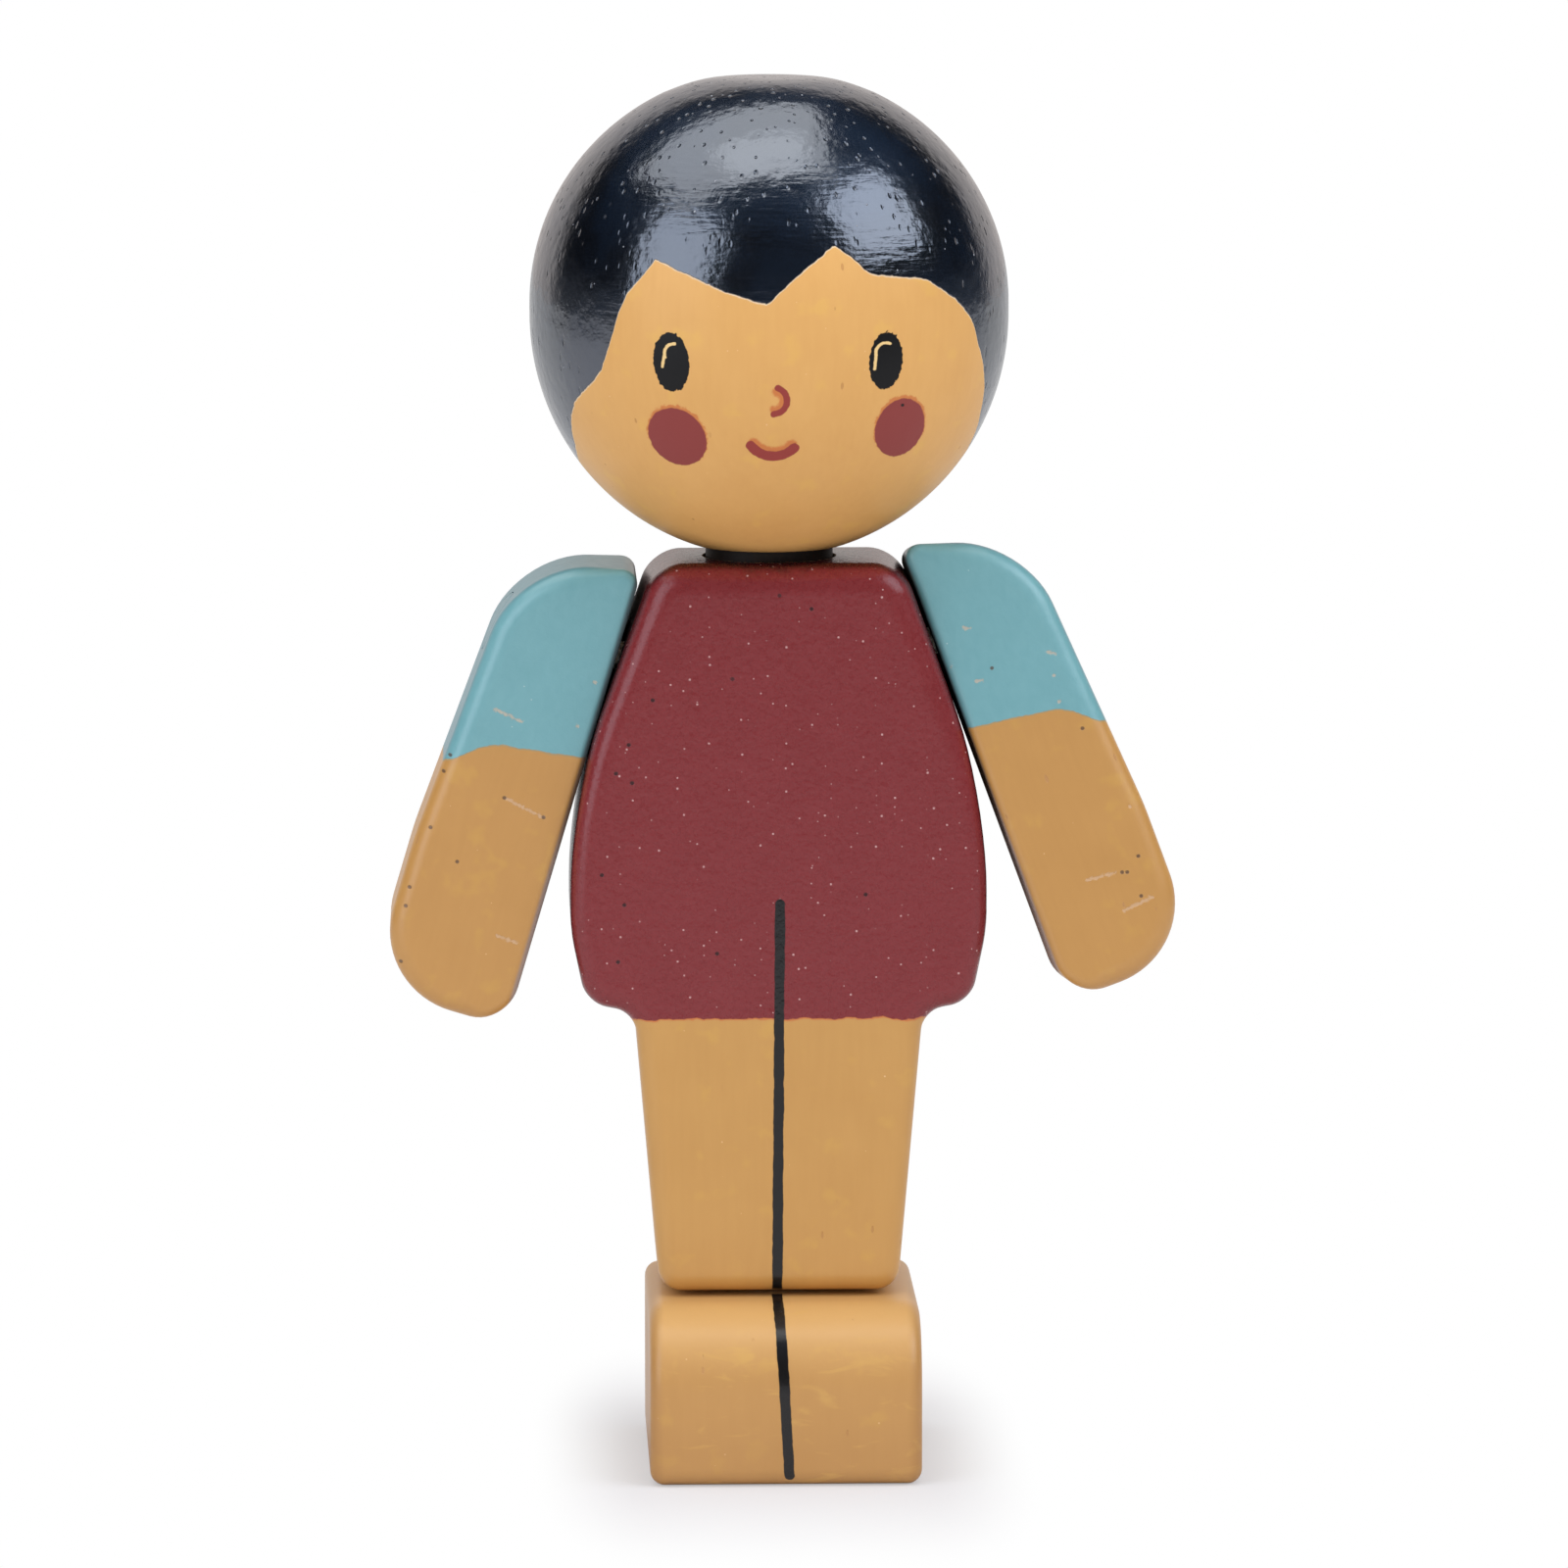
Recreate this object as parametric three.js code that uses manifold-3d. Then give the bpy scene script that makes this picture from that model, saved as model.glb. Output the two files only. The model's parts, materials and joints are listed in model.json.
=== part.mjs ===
// A painted wooden dollhouse figure, about 87 mm tall: a turned ball for a head, one board sawn to the
// torso and legs, a block for the feet, and two arms that an elastic cord holds against the shoulders.
// Millimetres, +Z up. The figure faces -Y, its sole is at z = 0 and the middle of the board at x = y = 0.
// Left and right are the figure's own, so its right arm is at -X.
import * as THREE from "three";
import { mergeVertices } from "three/addons/utils/BufferGeometryUtils.js";
import Module from "manifold-3d";

// Head: a turned ball with a narrow straight band at its widest and a flat at either end. The two curves
// are the heights that the halves above and below the band would have without the flats.
const HEAD_DIAMETER = 30;
const HEAD_UPPER_CURVE = 14.55;
const HEAD_LOWER_CURVE = 15.15;
const HEAD_BAND = 0.75;
const CROWN_FLAT_DIAMETER = 7.4;
const NECK_FLAT_RIM = 0.6;

// Neck dowel: glued into the torso a little off centre, and the head turns on it
const NECK_DIAMETER = 8;
const NECK_SHOWING = 0.85;
const NECK_IN_TORSO = 12;
const NECK_IN_HEAD = 12;
const NECK_OFFSET = -0.45;
const HEAD_TURNING_CLEARANCE = 0.1;
const NECK_END_CLEARANCE = 0.3;

// Board for the torso and legs; widths are from edge to edge, heights are above the hips
const BOARD_THICKNESS = 12;
const BOARD_ROUNDOVER = 1.2;
const SHOULDER_HEIGHT = 28.25;
const SHOULDER_WIDTH = 15.5;
const SHOULDER_CORNER_RADIUS = 2;
const BELLY_WIDTH = 26.1;
const BELLY_TOP_HEIGHT = 13.3;
const BELLY_TOP_RADIUS = 34;
const BELLY_BOTTOM_HEIGHT = 5.2;
const BELLY_BOTTOM_RADIUS = 10;
const HEM_WIDTH = 24.2;
const HEM_STEP = 0.6;
const HEM_RADIUS = 1.9;
const LEG_LENGTH = 17.75;
const LEG_TOP_WIDTH = 18.1;
const LEG_TOP_RADIUS = 1.6;
const ANKLE_WIDTH = 15;
const ANKLE_RADIUS = 1.5;

// Feet: one block, a little off centre and longer than the board is thick, with a rounded instep in front
const FOOT_HEIGHT = 10.9;
const FOOT_WIDTH = 17;
const FOOT_OFFSET = 0.27;
const TOE_OVERHANG = 6;
const HEEL_OVERHANG = 1.8;
const INSTEP_RADIUS = 5;
const FOOT_CORNER_RADIUS = 1;
const FOOT_ROUNDOVER = 0.9;
const ANKLE_GAP = 0.3;

// Ankle dowels: a glued pair between the legs and the feet
const ANKLE_DOWEL_DIAMETER = 4;
const ANKLE_DOWEL_SPACING = 7.6;
const ANKLE_DOWEL_IN_LEG = 8;
const ANKLE_DOWEL_IN_FOOT = 7;
const GLUE_CLEARANCE = 0.2;

// Arms: both from one template, measured down from the top along the flat inner face
const ARM_LENGTH = 30.15;
const ARM_THICKNESS = 9;
const ARM_ROUNDOVER = 1.2;
const ARM_INNER_ROUNDOVER = 0.6;
const ARM_TOP_WIDTH = 7.5;
const ARM_TOP_DROP = 1.8;
const ARM_TOP_INNER_RADIUS = 0.7;
const ARM_SHOULDER_RADIUS = 6.4;
const ARM_WRIST_WIDTH = 8.8;
const ARM_WRIST_DOWN = 20.2;
const ARM_WRIST_RADIUS = 20;
const HAND_OUTER_RADIUS = 5.3;
const HAND_INNER_RADIUS = 2.7;
const ARM_GAP = 0.15;
const PIVOT_DOWN = 6;

// How each arm hangs, in degrees and millimetres: its tilt from upright, its swing forwards, and how far
// it rides above or below the shoulder bore
const RIGHT_ARM_TILT = 16.6;
const RIGHT_ARM_SWING = 0;
const RIGHT_ARM_LIFT = -0.3;
const LEFT_ARM_TILT = 20.3;
const LEFT_ARM_SWING = 7;
const LEFT_ARM_LIFT = 0.5;

// Elastic cord: runs from arm to arm through the torso, with a knot in each arm under a glued plug
const SHOULDER_BORE_DOWN = 5.9;
const CORD_DIAMETER = 1.8;
const CORD_CLEARANCE_IN_ARM = 0.35;
const CORD_CLEARANCE_IN_TORSO = 0.7;
const BORE_COUNTERSINK = 1;
const KNOT_DIAMETER = 3.4;
const KNOT_LENGTH = 2.2;
const KNOT_TAIL = 0.4;
const KNOT_CLEARANCE = 0.3;
const KNOT_SEAT_DEPTH = 2.4;
const CORD_BEND_START = 0.45;
const CORD_ELBOW_DEPTH = 1.8;

// Painted lines: where the sleeves and the suit end and the hair begins
const RIGHT_SLEEVE_LENGTH = 12.4;
const LEFT_SLEEVE_LENGTH = 11.5;
const SLEEVE_SLOPE = 0.15;
const SUIT_HEM_DROP = 0.3;
const HAIRLINE_HEIGHT = 3;
const HAIRLINE_BACK_HEIGHT = -9;

// Smoothness of the meshes
const CHORD_ERROR = 0.03;
const ROUNDOVER_STEPS = 4;
const ROUNDOVER_SHARE = 0.95;
const EDGE_SHARE = 0.97;
const HEAD_SIDES = 56;
const HEAD_RINGS = 13;
const DOWEL_SIDES = 32;
const CORD_SIDES = 10;
const CORD_STEPS = 40;
const WELD_DISTANCE = 1e-4;
const PAINT_SNAP = 1e-3;

// How far a drill or cutter runs past the surface that it opens
const CUT_OVERSHOOT = 1;

const SKIN = "#d9a566";
const HAIR = "#10191f";
const SUIT = "#843d41";
const SLEEVE = "#72a6ab";
const BARE_WOOD = "#d8bd92";
const RUBBER = "#e9e4d8";
const PAINT_ROUGHNESS = 0.5;
const WOOD_ROUGHNESS = 0.7;
const RUBBER_ROUGHNESS = 0.8;

// Heights of the stack, from the floor up
const ankleZ = FOOT_HEIGHT + ANKLE_GAP;
const hipZ = ankleZ + LEG_LENGTH;
const shoulderZ = hipZ + SHOULDER_HEIGHT;
const headBottomZ = shoulderZ + NECK_SHOWING;
const boreZ = shoulderZ - SHOULDER_BORE_DOWN;

const neckBoreRadius = NECK_DIAMETER / 2 + GLUE_CLEARANCE;
const torsoBoreRadius = CORD_DIAMETER / 2 + CORD_CLEARANCE_IN_TORSO;
const armBoreRadius = CORD_DIAMETER / 2 + CORD_CLEARANCE_IN_ARM;
const knotBoreRadius = KNOT_DIAMETER / 2 + KNOT_CLEARANCE;
const ankleBoreRadius = ANKLE_DOWEL_DIAMETER / 2 + GLUE_CLEARANCE;
const ankleDowelX = (side) => (side * ANKLE_DOWEL_SPACING) / 2;

const wasm = await Module();
wasm.setup();

// A closed geometry as a solid, so that bores can be cut from it.
function solidFrom(geometry) {
  const bare = geometry.clone();
  for (const name of Object.keys(bare.attributes)) {
    if (name !== "position") {
      bare.deleteAttribute(name);
    }
  }
  const merged = mergeVertices(bare, WELD_DISTANCE);
  return new wasm.Manifold(
    new wasm.Mesh({
      numProp: 3,
      vertProperties: new Float32Array(merged.attributes.position.array),
      triVerts: new Uint32Array(merged.index.array),
    }),
  );
}

// The other way round: a solid as a geometry.
function geometryFrom(solid) {
  const mesh = solid.getMesh();
  const geometry = new THREE.BufferGeometry();
  geometry.setAttribute("position", new THREE.BufferAttribute(mesh.vertProperties, 3));
  geometry.setIndex(new THREE.BufferAttribute(mesh.triVerts, 1));
  return geometry;
}

function cut(geometry, ...tools) {
  return geometryFrom(solidFrom(geometry).subtract(wasm.Manifold.union(tools.map(solidFrom))));
}

// An upright rod from z = from to z = to, optionally tapered.
function rod(radius, from, to, x = 0, topRadius = radius) {
  return new THREE.CylinderGeometry(topRadius, radius, to - from, DOWEL_SIDES)
    .rotateX(Math.PI / 2)
    .translate(x, 0, (from + to) / 2);
}

// A rod along X from x = from to x = to at height z, optionally tapered.
function crossRod(radius, from, to, z = 0, endRadius = radius) {
  return rod(radius, from, to, 0, endRadius).rotateY(Math.PI / 2).translate(0, 0, z);
}

// A closed outline whose corners are rounded. Each corner is [x, z, radius], counter-clockwise. Two arcs
// that share an edge too short for both are made smaller together. Each point keeps the largest roundover
// that its corner leaves room for.
function roundedOutline(corners) {
  const count = corners.length;
  const spots = corners.map(([x, z]) => new THREE.Vector2(x, z));
  const lengths = spots.map((spot, i) => spot.distanceTo(spots[(i + 1) % count]));
  const bends = spots.map((corner, i) => {
    const before = spots.at(i - 1).clone().sub(corner).normalize();
    const after = spots[(i + 1) % count].clone().sub(corner).normalize();
    const turn = Math.PI - Math.acos(THREE.MathUtils.clamp(before.dot(after), -1, 1));
    return { before, after, turn, tangent: corners[i][2] * Math.tan(turn / 2) };
  });
  const points = [];
  bends.forEach(({ before, after, turn, tangent }, i) => {
    const roomBefore = (EDGE_SHARE * lengths.at(i - 1)) / (tangent + bends.at(i - 1).tangent);
    const roomAfter = (EDGE_SHARE * lengths[i]) / (tangent + bends[(i + 1) % count].tangent);
    const radius = corners[i][2] * Math.min(1, roomBefore, roomAfter);
    const bisector = before.clone().add(after).normalize();
    const centre = spots[i].clone().addScaledVector(bisector, radius / Math.cos(turn / 2));
    const start = spots[i].clone().addScaledVector(before, radius * Math.tan(turn / 2)).sub(centre);
    const leftTurn = before.cross(after) < 0;
    const steps = Math.ceil(turn / (2 * Math.acos(1 - CHORD_ERROR / radius)));
    for (let k = 0; k <= steps; k++) {
      const angle = ((leftTurn ? 1 : -1) * turn * k) / steps;
      const point = start.clone().rotateAround(new THREE.Vector2(), angle).add(centre);
      point.roundoverLimit = leftTurn ? ROUNDOVER_SHARE * radius : Infinity;
      points.push(point);
    }
  });
  return points;
}

// Each outline point moved inwards by its own distance, square to the edges on both sides of it.
function insetOutline(outline, distances) {
  return outline.map((point, i) => {
    const before = point.clone().sub(outline.at(i - 1)).normalize();
    const after = outline[(i + 1) % outline.length].clone().sub(point).normalize();
    const inwards = new THREE.Vector2(-before.y - after.y, before.x + after.x).normalize();
    const square = new THREE.Vector2(-before.y, before.x);
    return point.clone().addScaledVector(inwards, distances[i] / inwards.dot(square));
  });
}

// A board sawn to an outline in XZ, centred on y = 0, with its edges rounded over by roundoverAt(point).
function roundedBoard(outline, thickness, roundoverAt) {
  const radii = outline.map(roundoverAt);
  const count = outline.length;
  const positions = [];
  for (const face of [-1, 1]) {
    for (let k = 0; k <= ROUNDOVER_STEPS; k++) {
      const angle = (Math.PI / 2) * (face < 0 ? k : ROUNDOVER_STEPS - k) / ROUNDOVER_STEPS;
      const ring = insetOutline(outline, radii.map((r) => r * (1 - Math.sin(angle))));
      ring.forEach((p, i) => {
        const y = thickness / 2 - radii[i] * (1 - Math.cos(angle));
        positions.push(p.x, face * y, p.y);
      });
    }
  }
  const rings = positions.length / 3 / count;
  const index = [];
  for (let ring = 0; ring < rings - 1; ring++) {
    for (let i = 0; i < count; i++) {
      const a = ring * count + i;
      const b = ring * count + ((i + 1) % count);
      index.push(b, a, a + count, b, a + count, b + count);
    }
  }
  const faceOutline = insetOutline(outline, radii);
  const backRing = (rings - 1) * count;
  for (const [a, b, c] of THREE.ShapeUtils.triangulateShape(faceOutline, [])) {
    index.push(a, b, c, backRing + a, backRing + c, backRing + b);
  }
  const geometry = new THREE.BufferGeometry();
  geometry.setAttribute("position", new THREE.Float32BufferAttribute(positions, 3));
  geometry.setIndex(index);
  return geometry;
}

// Paints a geometry in two colours that meet where heightOver(point) is zero. A triangle that crosses the
// line is split along it.
function painted(geometry, upperColour, lowerColour, heightOver) {
  const flat = geometry.index ? geometry.toNonIndexed() : geometry;
  const source = flat.attributes.position;
  const positions = [];
  const colours = [];
  const addSide = (corners, heights, colour) => {
    if (Math.max(...heights) <= 0) {
      return;
    }
    const polygon = [];
    corners.forEach((corner, i) => {
      const next = (i + 1) % corners.length;
      if (heights[i] >= 0) {
        polygon.push(corner);
      }
      if (heights[i] * heights[next] < 0) {
        const share = heights[i] / (heights[i] - heights[next]);
        polygon.push(corner.clone().lerp(corners[next], share));
      }
    });
    for (let k = 1; k < polygon.length - 1; k++) {
      for (const point of [polygon[0], polygon[k], polygon[k + 1]]) {
        positions.push(...point);
        colours.push(...new THREE.Color(colour));
      }
    }
  };
  for (let i = 0; i < source.count; i += 3) {
    const corners = [i, i + 1, i + 2].map((k) => new THREE.Vector3().fromBufferAttribute(source, k));
    const heights = corners.map(heightOver).map((h) => (Math.abs(h) < PAINT_SNAP ? 0 : h));
    addSide(corners, heights, upperColour);
    addSide(corners, heights.map((h) => -h), lowerColour);
  }
  const result = new THREE.BufferGeometry();
  result.setAttribute("position", new THREE.Float32BufferAttribute(positions, 3));
  result.setAttribute("color", new THREE.Float32BufferAttribute(colours, 3));
  result.computeVertexNormals();
  return result;
}

function piece(name, geometry, colour, roughness) {
  const isPainted = Boolean(geometry.attributes.color);
  const material = new THREE.MeshStandardMaterial({
    color: isPainted ? "#ffffff" : colour,
    vertexColors: isPainted,
    roughness,
    metalness: 0,
  });
  const mesh = new THREE.Mesh(geometry, material);
  mesh.name = name;
  return mesh;
}

const figure = new THREE.Group();

// Head
const headRadius = HEAD_DIAMETER / 2;
const headBoreRadius = NECK_DIAMETER / 2 + HEAD_TURNING_CLEARANCE;
const crownAngle = Math.acos(CROWN_FLAT_DIAMETER / HEAD_DIAMETER);
const neckAngle = Math.acos((headBoreRadius + NECK_FLAT_RIM) / headRadius);
const crownTop = HEAD_BAND / 2 + HEAD_UPPER_CURVE * Math.sin(crownAngle);
const neckBottom = -HEAD_BAND / 2 - HEAD_LOWER_CURVE * Math.sin(neckAngle);

function makeHead() {
  const boreTop = neckBottom + NECK_IN_HEAD + NECK_END_CLEARANCE;
  const profile = [
    new THREE.Vector2(0, boreTop),
    new THREE.Vector2(headBoreRadius, boreTop),
    new THREE.Vector2(headBoreRadius, neckBottom),
  ];
  const curve = (angle, reach) => new THREE.Vector2(headRadius * Math.cos(angle), reach * Math.sin(angle));
  const halfBand = new THREE.Vector2(0, HEAD_BAND / 2);
  for (let k = HEAD_RINGS; k >= 0; k--) {
    profile.push(curve((-neckAngle * k) / HEAD_RINGS, HEAD_LOWER_CURVE).sub(halfBand));
  }
  for (let k = 0; k <= HEAD_RINGS; k++) {
    profile.push(curve((crownAngle * k) / HEAD_RINGS, HEAD_UPPER_CURVE).add(halfBand));
  }
  profile.push(new THREE.Vector2(0, crownTop));
  const ball = new THREE.LatheGeometry(profile, HEAD_SIDES).rotateX(Math.PI / 2);
  const hairlineAt = (y) =>
    THREE.MathUtils.mapLinear(y, -headRadius, 0, HAIRLINE_HEIGHT, HAIRLINE_BACK_HEIGHT);
  const coloured = painted(ball, HAIR, SKIN, (p) => p.z - hairlineAt(p.y));
  const head = piece("head", coloured, SKIN, PAINT_ROUGHNESS);
  head.position.set(NECK_OFFSET, 0, headBottomZ - neckBottom);
  return head;
}
figure.add(makeHead());

// Neck dowel, with the cross hole that the elastic cord passes through
function makeNeckDowel() {
  const foot = shoulderZ - NECK_IN_TORSO + GLUE_CLEARANCE;
  const dowel = rod(NECK_DIAMETER / 2, foot, headBottomZ + NECK_IN_HEAD, NECK_OFFSET);
  const crossHole = crossRod(torsoBoreRadius, -NECK_DIAMETER, NECK_DIAMETER, boreZ);
  return piece("neck_dowel", cut(dowel, crossHole), SKIN, PAINT_ROUGHNESS);
}
figure.add(makeNeckDowel());

// Torso and legs
const bodyHalf = [
  [ANKLE_WIDTH / 2, ankleZ, ANKLE_RADIUS],
  [LEG_TOP_WIDTH / 2, hipZ, LEG_TOP_RADIUS],
  [HEM_WIDTH / 2, hipZ + HEM_STEP, HEM_RADIUS],
  [BELLY_WIDTH / 2, hipZ + BELLY_BOTTOM_HEIGHT, BELLY_BOTTOM_RADIUS],
  [BELLY_WIDTH / 2, hipZ + BELLY_TOP_HEIGHT, BELLY_TOP_RADIUS],
  [SHOULDER_WIDTH / 2, shoulderZ, SHOULDER_CORNER_RADIUS],
];
const bodyOutline = roundedOutline([...bodyHalf, ...bodyHalf.toReversed().map(([x, z, r]) => [-x, z, r])]);

function makeTorsoAndLegs() {
  const roundoverAt = (p) => Math.min(BOARD_ROUNDOVER, p.roundoverLimit);
  const board = roundedBoard(bodyOutline, BOARD_THICKNESS, roundoverAt);
  const bellyDrop = SHOULDER_HEIGHT - BELLY_TOP_HEIGHT;
  const mouth = THREE.MathUtils.lerp(SHOULDER_WIDTH, BELLY_WIDTH, SHOULDER_BORE_DOWN / bellyDrop) / 2;
  const sinkRadius = torsoBoreRadius + BORE_COUNTERSINK;
  const tools = [
    rod(neckBoreRadius, shoulderZ - NECK_IN_TORSO, shoulderZ + CUT_OVERSHOOT, NECK_OFFSET),
    crossRod(torsoBoreRadius, -BELLY_WIDTH, BELLY_WIDTH, boreZ),
    crossRod(torsoBoreRadius, mouth - BORE_COUNTERSINK, mouth, boreZ, sinkRadius),
    crossRod(sinkRadius, -mouth, BORE_COUNTERSINK - mouth, boreZ, torsoBoreRadius),
    crossRod(sinkRadius, mouth, BELLY_WIDTH, boreZ),
    crossRod(sinkRadius, -BELLY_WIDTH, -mouth, boreZ),
  ];
  for (const side of [-1, 1]) {
    const holeTop = ankleZ + ANKLE_DOWEL_IN_LEG + GLUE_CLEARANCE;
    tools.push(rod(ankleBoreRadius, ankleZ - CUT_OVERSHOOT, holeTop, ankleDowelX(side)));
  }
  const coloured = painted(cut(board, ...tools), SUIT, SKIN, (p) => p.z - (hipZ - SUIT_HEM_DROP));
  return piece("torso_and_legs", coloured, SUIT, PAINT_ROUGHNESS);
}
figure.add(makeTorsoAndLegs());

// Feet and the dowels that hold them
function makeFeet() {
  const toeY = -BOARD_THICKNESS / 2 - TOE_OVERHANG;
  const heelY = BOARD_THICKNESS / 2 + HEEL_OVERHANG;
  const profile = roundedOutline([
    [toeY, 0, FOOT_CORNER_RADIUS],
    [heelY, 0, FOOT_CORNER_RADIUS],
    [heelY, FOOT_HEIGHT, FOOT_CORNER_RADIUS],
    [toeY, FOOT_HEIGHT, INSTEP_RADIUS],
  ]);
  const block = roundedBoard(profile, FOOT_WIDTH, (p) => Math.min(FOOT_ROUNDOVER, p.roundoverLimit));
  block.rotateZ(Math.PI / 2).translate(FOOT_OFFSET, 0, 0);
  const holeBottom = FOOT_HEIGHT - ANKLE_DOWEL_IN_FOOT - GLUE_CLEARANCE;
  const holes = [-1, 1].map((side) =>
    rod(ankleBoreRadius, holeBottom, FOOT_HEIGHT + CUT_OVERSHOOT, ankleDowelX(side)),
  );
  return piece("feet", cut(block, ...holes), SKIN, PAINT_ROUGHNESS);
}
figure.add(makeFeet());

for (const [name, side] of [["right", -1], ["left", 1]]) {
  const bottom = FOOT_HEIGHT - ANKLE_DOWEL_IN_FOOT;
  const top = ankleZ + ANKLE_DOWEL_IN_LEG;
  const dowel = rod(ANKLE_DOWEL_DIAMETER / 2, bottom, top, ankleDowelX(side));
  figure.add(piece(`${name}_ankle_dowel`, dowel, BARE_WOOD, WOOD_ROUGHNESS));
}

// Arm template in its own frame: the pivot is the origin, +x points away from the torso and +z up
const armTopZ = PIVOT_DOWN;
const armOutline = roundedOutline([
  [0, armTopZ, ARM_TOP_INNER_RADIUS],
  [0, armTopZ - ARM_LENGTH, HAND_INNER_RADIUS],
  [ARM_WRIST_WIDTH, armTopZ - ARM_LENGTH, HAND_OUTER_RADIUS],
  [ARM_WRIST_WIDTH, armTopZ - ARM_WRIST_DOWN, ARM_WRIST_RADIUS],
  [ARM_TOP_WIDTH, armTopZ - ARM_TOP_DROP, ARM_SHOULDER_RADIUS],
]);
const armRoundoverAt = (p) => {
  const inner = Math.min(ARM_INNER_ROUNDOVER, ROUNDOVER_SHARE * ARM_TOP_INNER_RADIUS);
  return THREE.MathUtils.lerp(inner, ARM_ROUNDOVER, THREE.MathUtils.smoothstep(p.x, 0, ARM_ROUNDOVER));
};

// Where each arm hangs. side is -1 or 1 along X; the inner face just clears the torso at its fullest point.
function armPlacement(side, tiltDegrees, swingDegrees, lift) {
  const tilt = THREE.MathUtils.degToRad(tiltDegrees);
  const swing = THREE.MathUtils.degToRad(swingDegrees);
  const outwards = new THREE.Vector2(side * Math.cos(tilt), Math.sin(tilt));
  const reach = Math.max(...bodyOutline.map((p) => p.dot(outwards))) + ARM_GAP;
  const z = boreZ + lift;
  const x = (reach - z * outwards.y) / outwards.x;
  const pivot = new THREE.Vector3(x, 0, z);
  return { side, tilt, swing, pivot, outwards: new THREE.Vector3(outwards.x, 0, outwards.y) };
}
const arms = {
  right: {
    ...armPlacement(-1, RIGHT_ARM_TILT, RIGHT_ARM_SWING, RIGHT_ARM_LIFT),
    sleeve: RIGHT_SLEEVE_LENGTH,
  },
  left: {
    ...armPlacement(1, LEFT_ARM_TILT, LEFT_ARM_SWING, LEFT_ARM_LIFT),
    sleeve: LEFT_SLEEVE_LENGTH,
  },
};

// Distances out from the pivot along the bore: the knot's seat, the knot, the cord's end and the plug
const knotMiddle = KNOT_SEAT_DEPTH + KNOT_CLEARANCE + KNOT_LENGTH / 2;
const cordEnd = knotMiddle + KNOT_LENGTH / 2 + KNOT_TAIL;
const plugStart = cordEnd + KNOT_CLEARANCE;

function makeArm(name, { side, tilt, swing, pivot, sleeve }) {
  const blank = roundedBoard(armOutline, ARM_THICKNESS, armRoundoverAt);
  const bore = crossRod(armBoreRadius, -CUT_OVERSHOOT, ARM_WRIST_WIDTH);
  const knotBore = crossRod(knotBoreRadius, KNOT_SEAT_DEPTH, 2 * ARM_WRIST_WIDTH);
  const sleeveEndAt = (x) => armTopZ - sleeve - SLEEVE_SLOPE * x;
  const coloured = painted(cut(blank, bore, knotBore), SLEEVE, SKIN, (p) => p.z - sleeveEndAt(p.x));
  const arm = piece(`${name}_arm`, coloured, SLEEVE, PAINT_ROUGHNESS);

  const plugRod = crossRod(knotBoreRadius - GLUE_CLEARANCE, plugStart, 2 * ARM_WRIST_WIDTH);
  const trimmedPlug = geometryFrom(solidFrom(plugRod).intersect(solidFrom(blank)));
  const plug = piece(`${name}_arm_plug`, trimmedPlug, SLEEVE, PAINT_ROUGHNESS);

  const group = new THREE.Group();
  group.add(arm, plug);
  // The template is a left arm, and the same both ways through its thickness, so half a turn about the
  // upright makes the right one.
  group.position.copy(pivot);
  group.rotateY(-side * tilt);
  if (side < 0) group.rotateZ(Math.PI);
  group.rotateX(-side * swing);
  return group;
}
for (const [name, arm] of Object.entries(arms)) figure.add(makeArm(name, arm));

// Elastic cord: square to each arm in its bore, and level through the neck dowel
function makeCord() {
  const along = ({ pivot, outwards }, distance) => pivot.clone().addScaledVector(outwards, distance);
  const level = (side) => new THREE.Vector3(NECK_OFFSET + (side * NECK_DIAMETER) / 2, 0, boreZ);
  const bendStart = (arm) => along(arm, -CORD_BEND_START);
  const path = new THREE.CurvePath();
  const bend = (arm, from, to) => {
    const elbow = along(arm, -CORD_ELBOW_DEPTH);
    elbow.z = (elbow.z + boreZ) / 2;
    return new THREE.QuadraticBezierCurve3(from, elbow, to);
  };
  path.add(new THREE.LineCurve3(along(arms.right, cordEnd), bendStart(arms.right)));
  path.add(bend(arms.right, bendStart(arms.right), level(-1)));
  path.add(new THREE.LineCurve3(level(-1), level(1)));
  path.add(bend(arms.left, level(1), bendStart(arms.left)));
  path.add(new THREE.LineCurve3(bendStart(arms.left), along(arms.left, cordEnd)));

  const section = new THREE.Shape();
  section.absarc(0, 0, CORD_DIAMETER / 2, 0, 2 * Math.PI);
  const tube = new THREE.ExtrudeGeometry(section, {
    extrudePath: path,
    steps: CORD_STEPS,
    curveSegments: CORD_SIDES / 2,
    bevelEnabled: false,
  });
  let solid = solidFrom(tube);
  for (const arm of Object.values(arms)) {
    const knot = new THREE.SphereGeometry(1, 2 * CORD_SIDES, CORD_SIDES)
      .scale(KNOT_LENGTH / 2, KNOT_DIAMETER / 2, KNOT_DIAMETER / 2)
      .rotateY(-arm.side * arm.tilt)
      .translate(...along(arm, knotMiddle));
    solid = solid.add(solidFrom(knot));
  }
  return piece("shoulder_elastic", geometryFrom(solid), RUBBER, RUBBER_ROUGHNESS);
}
figure.add(makeCord());

export default figure;
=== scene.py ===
"""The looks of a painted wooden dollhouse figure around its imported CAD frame.

Sizes are millimetres, as on a maker's drawing, and become metres where a mesh is finished. The figure
faces -Y and stands at z = 0. Left and right are the figure's own.
"""

from __future__ import annotations

import json
import logging
import math
from collections.abc import Callable, Iterator, Sequence
from contextlib import contextmanager
from dataclasses import dataclass, replace
from enum import Enum
from functools import reduce

import bmesh
import bpy
from bpy.types import Material, Object
from mathutils import Matrix, Vector

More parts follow.
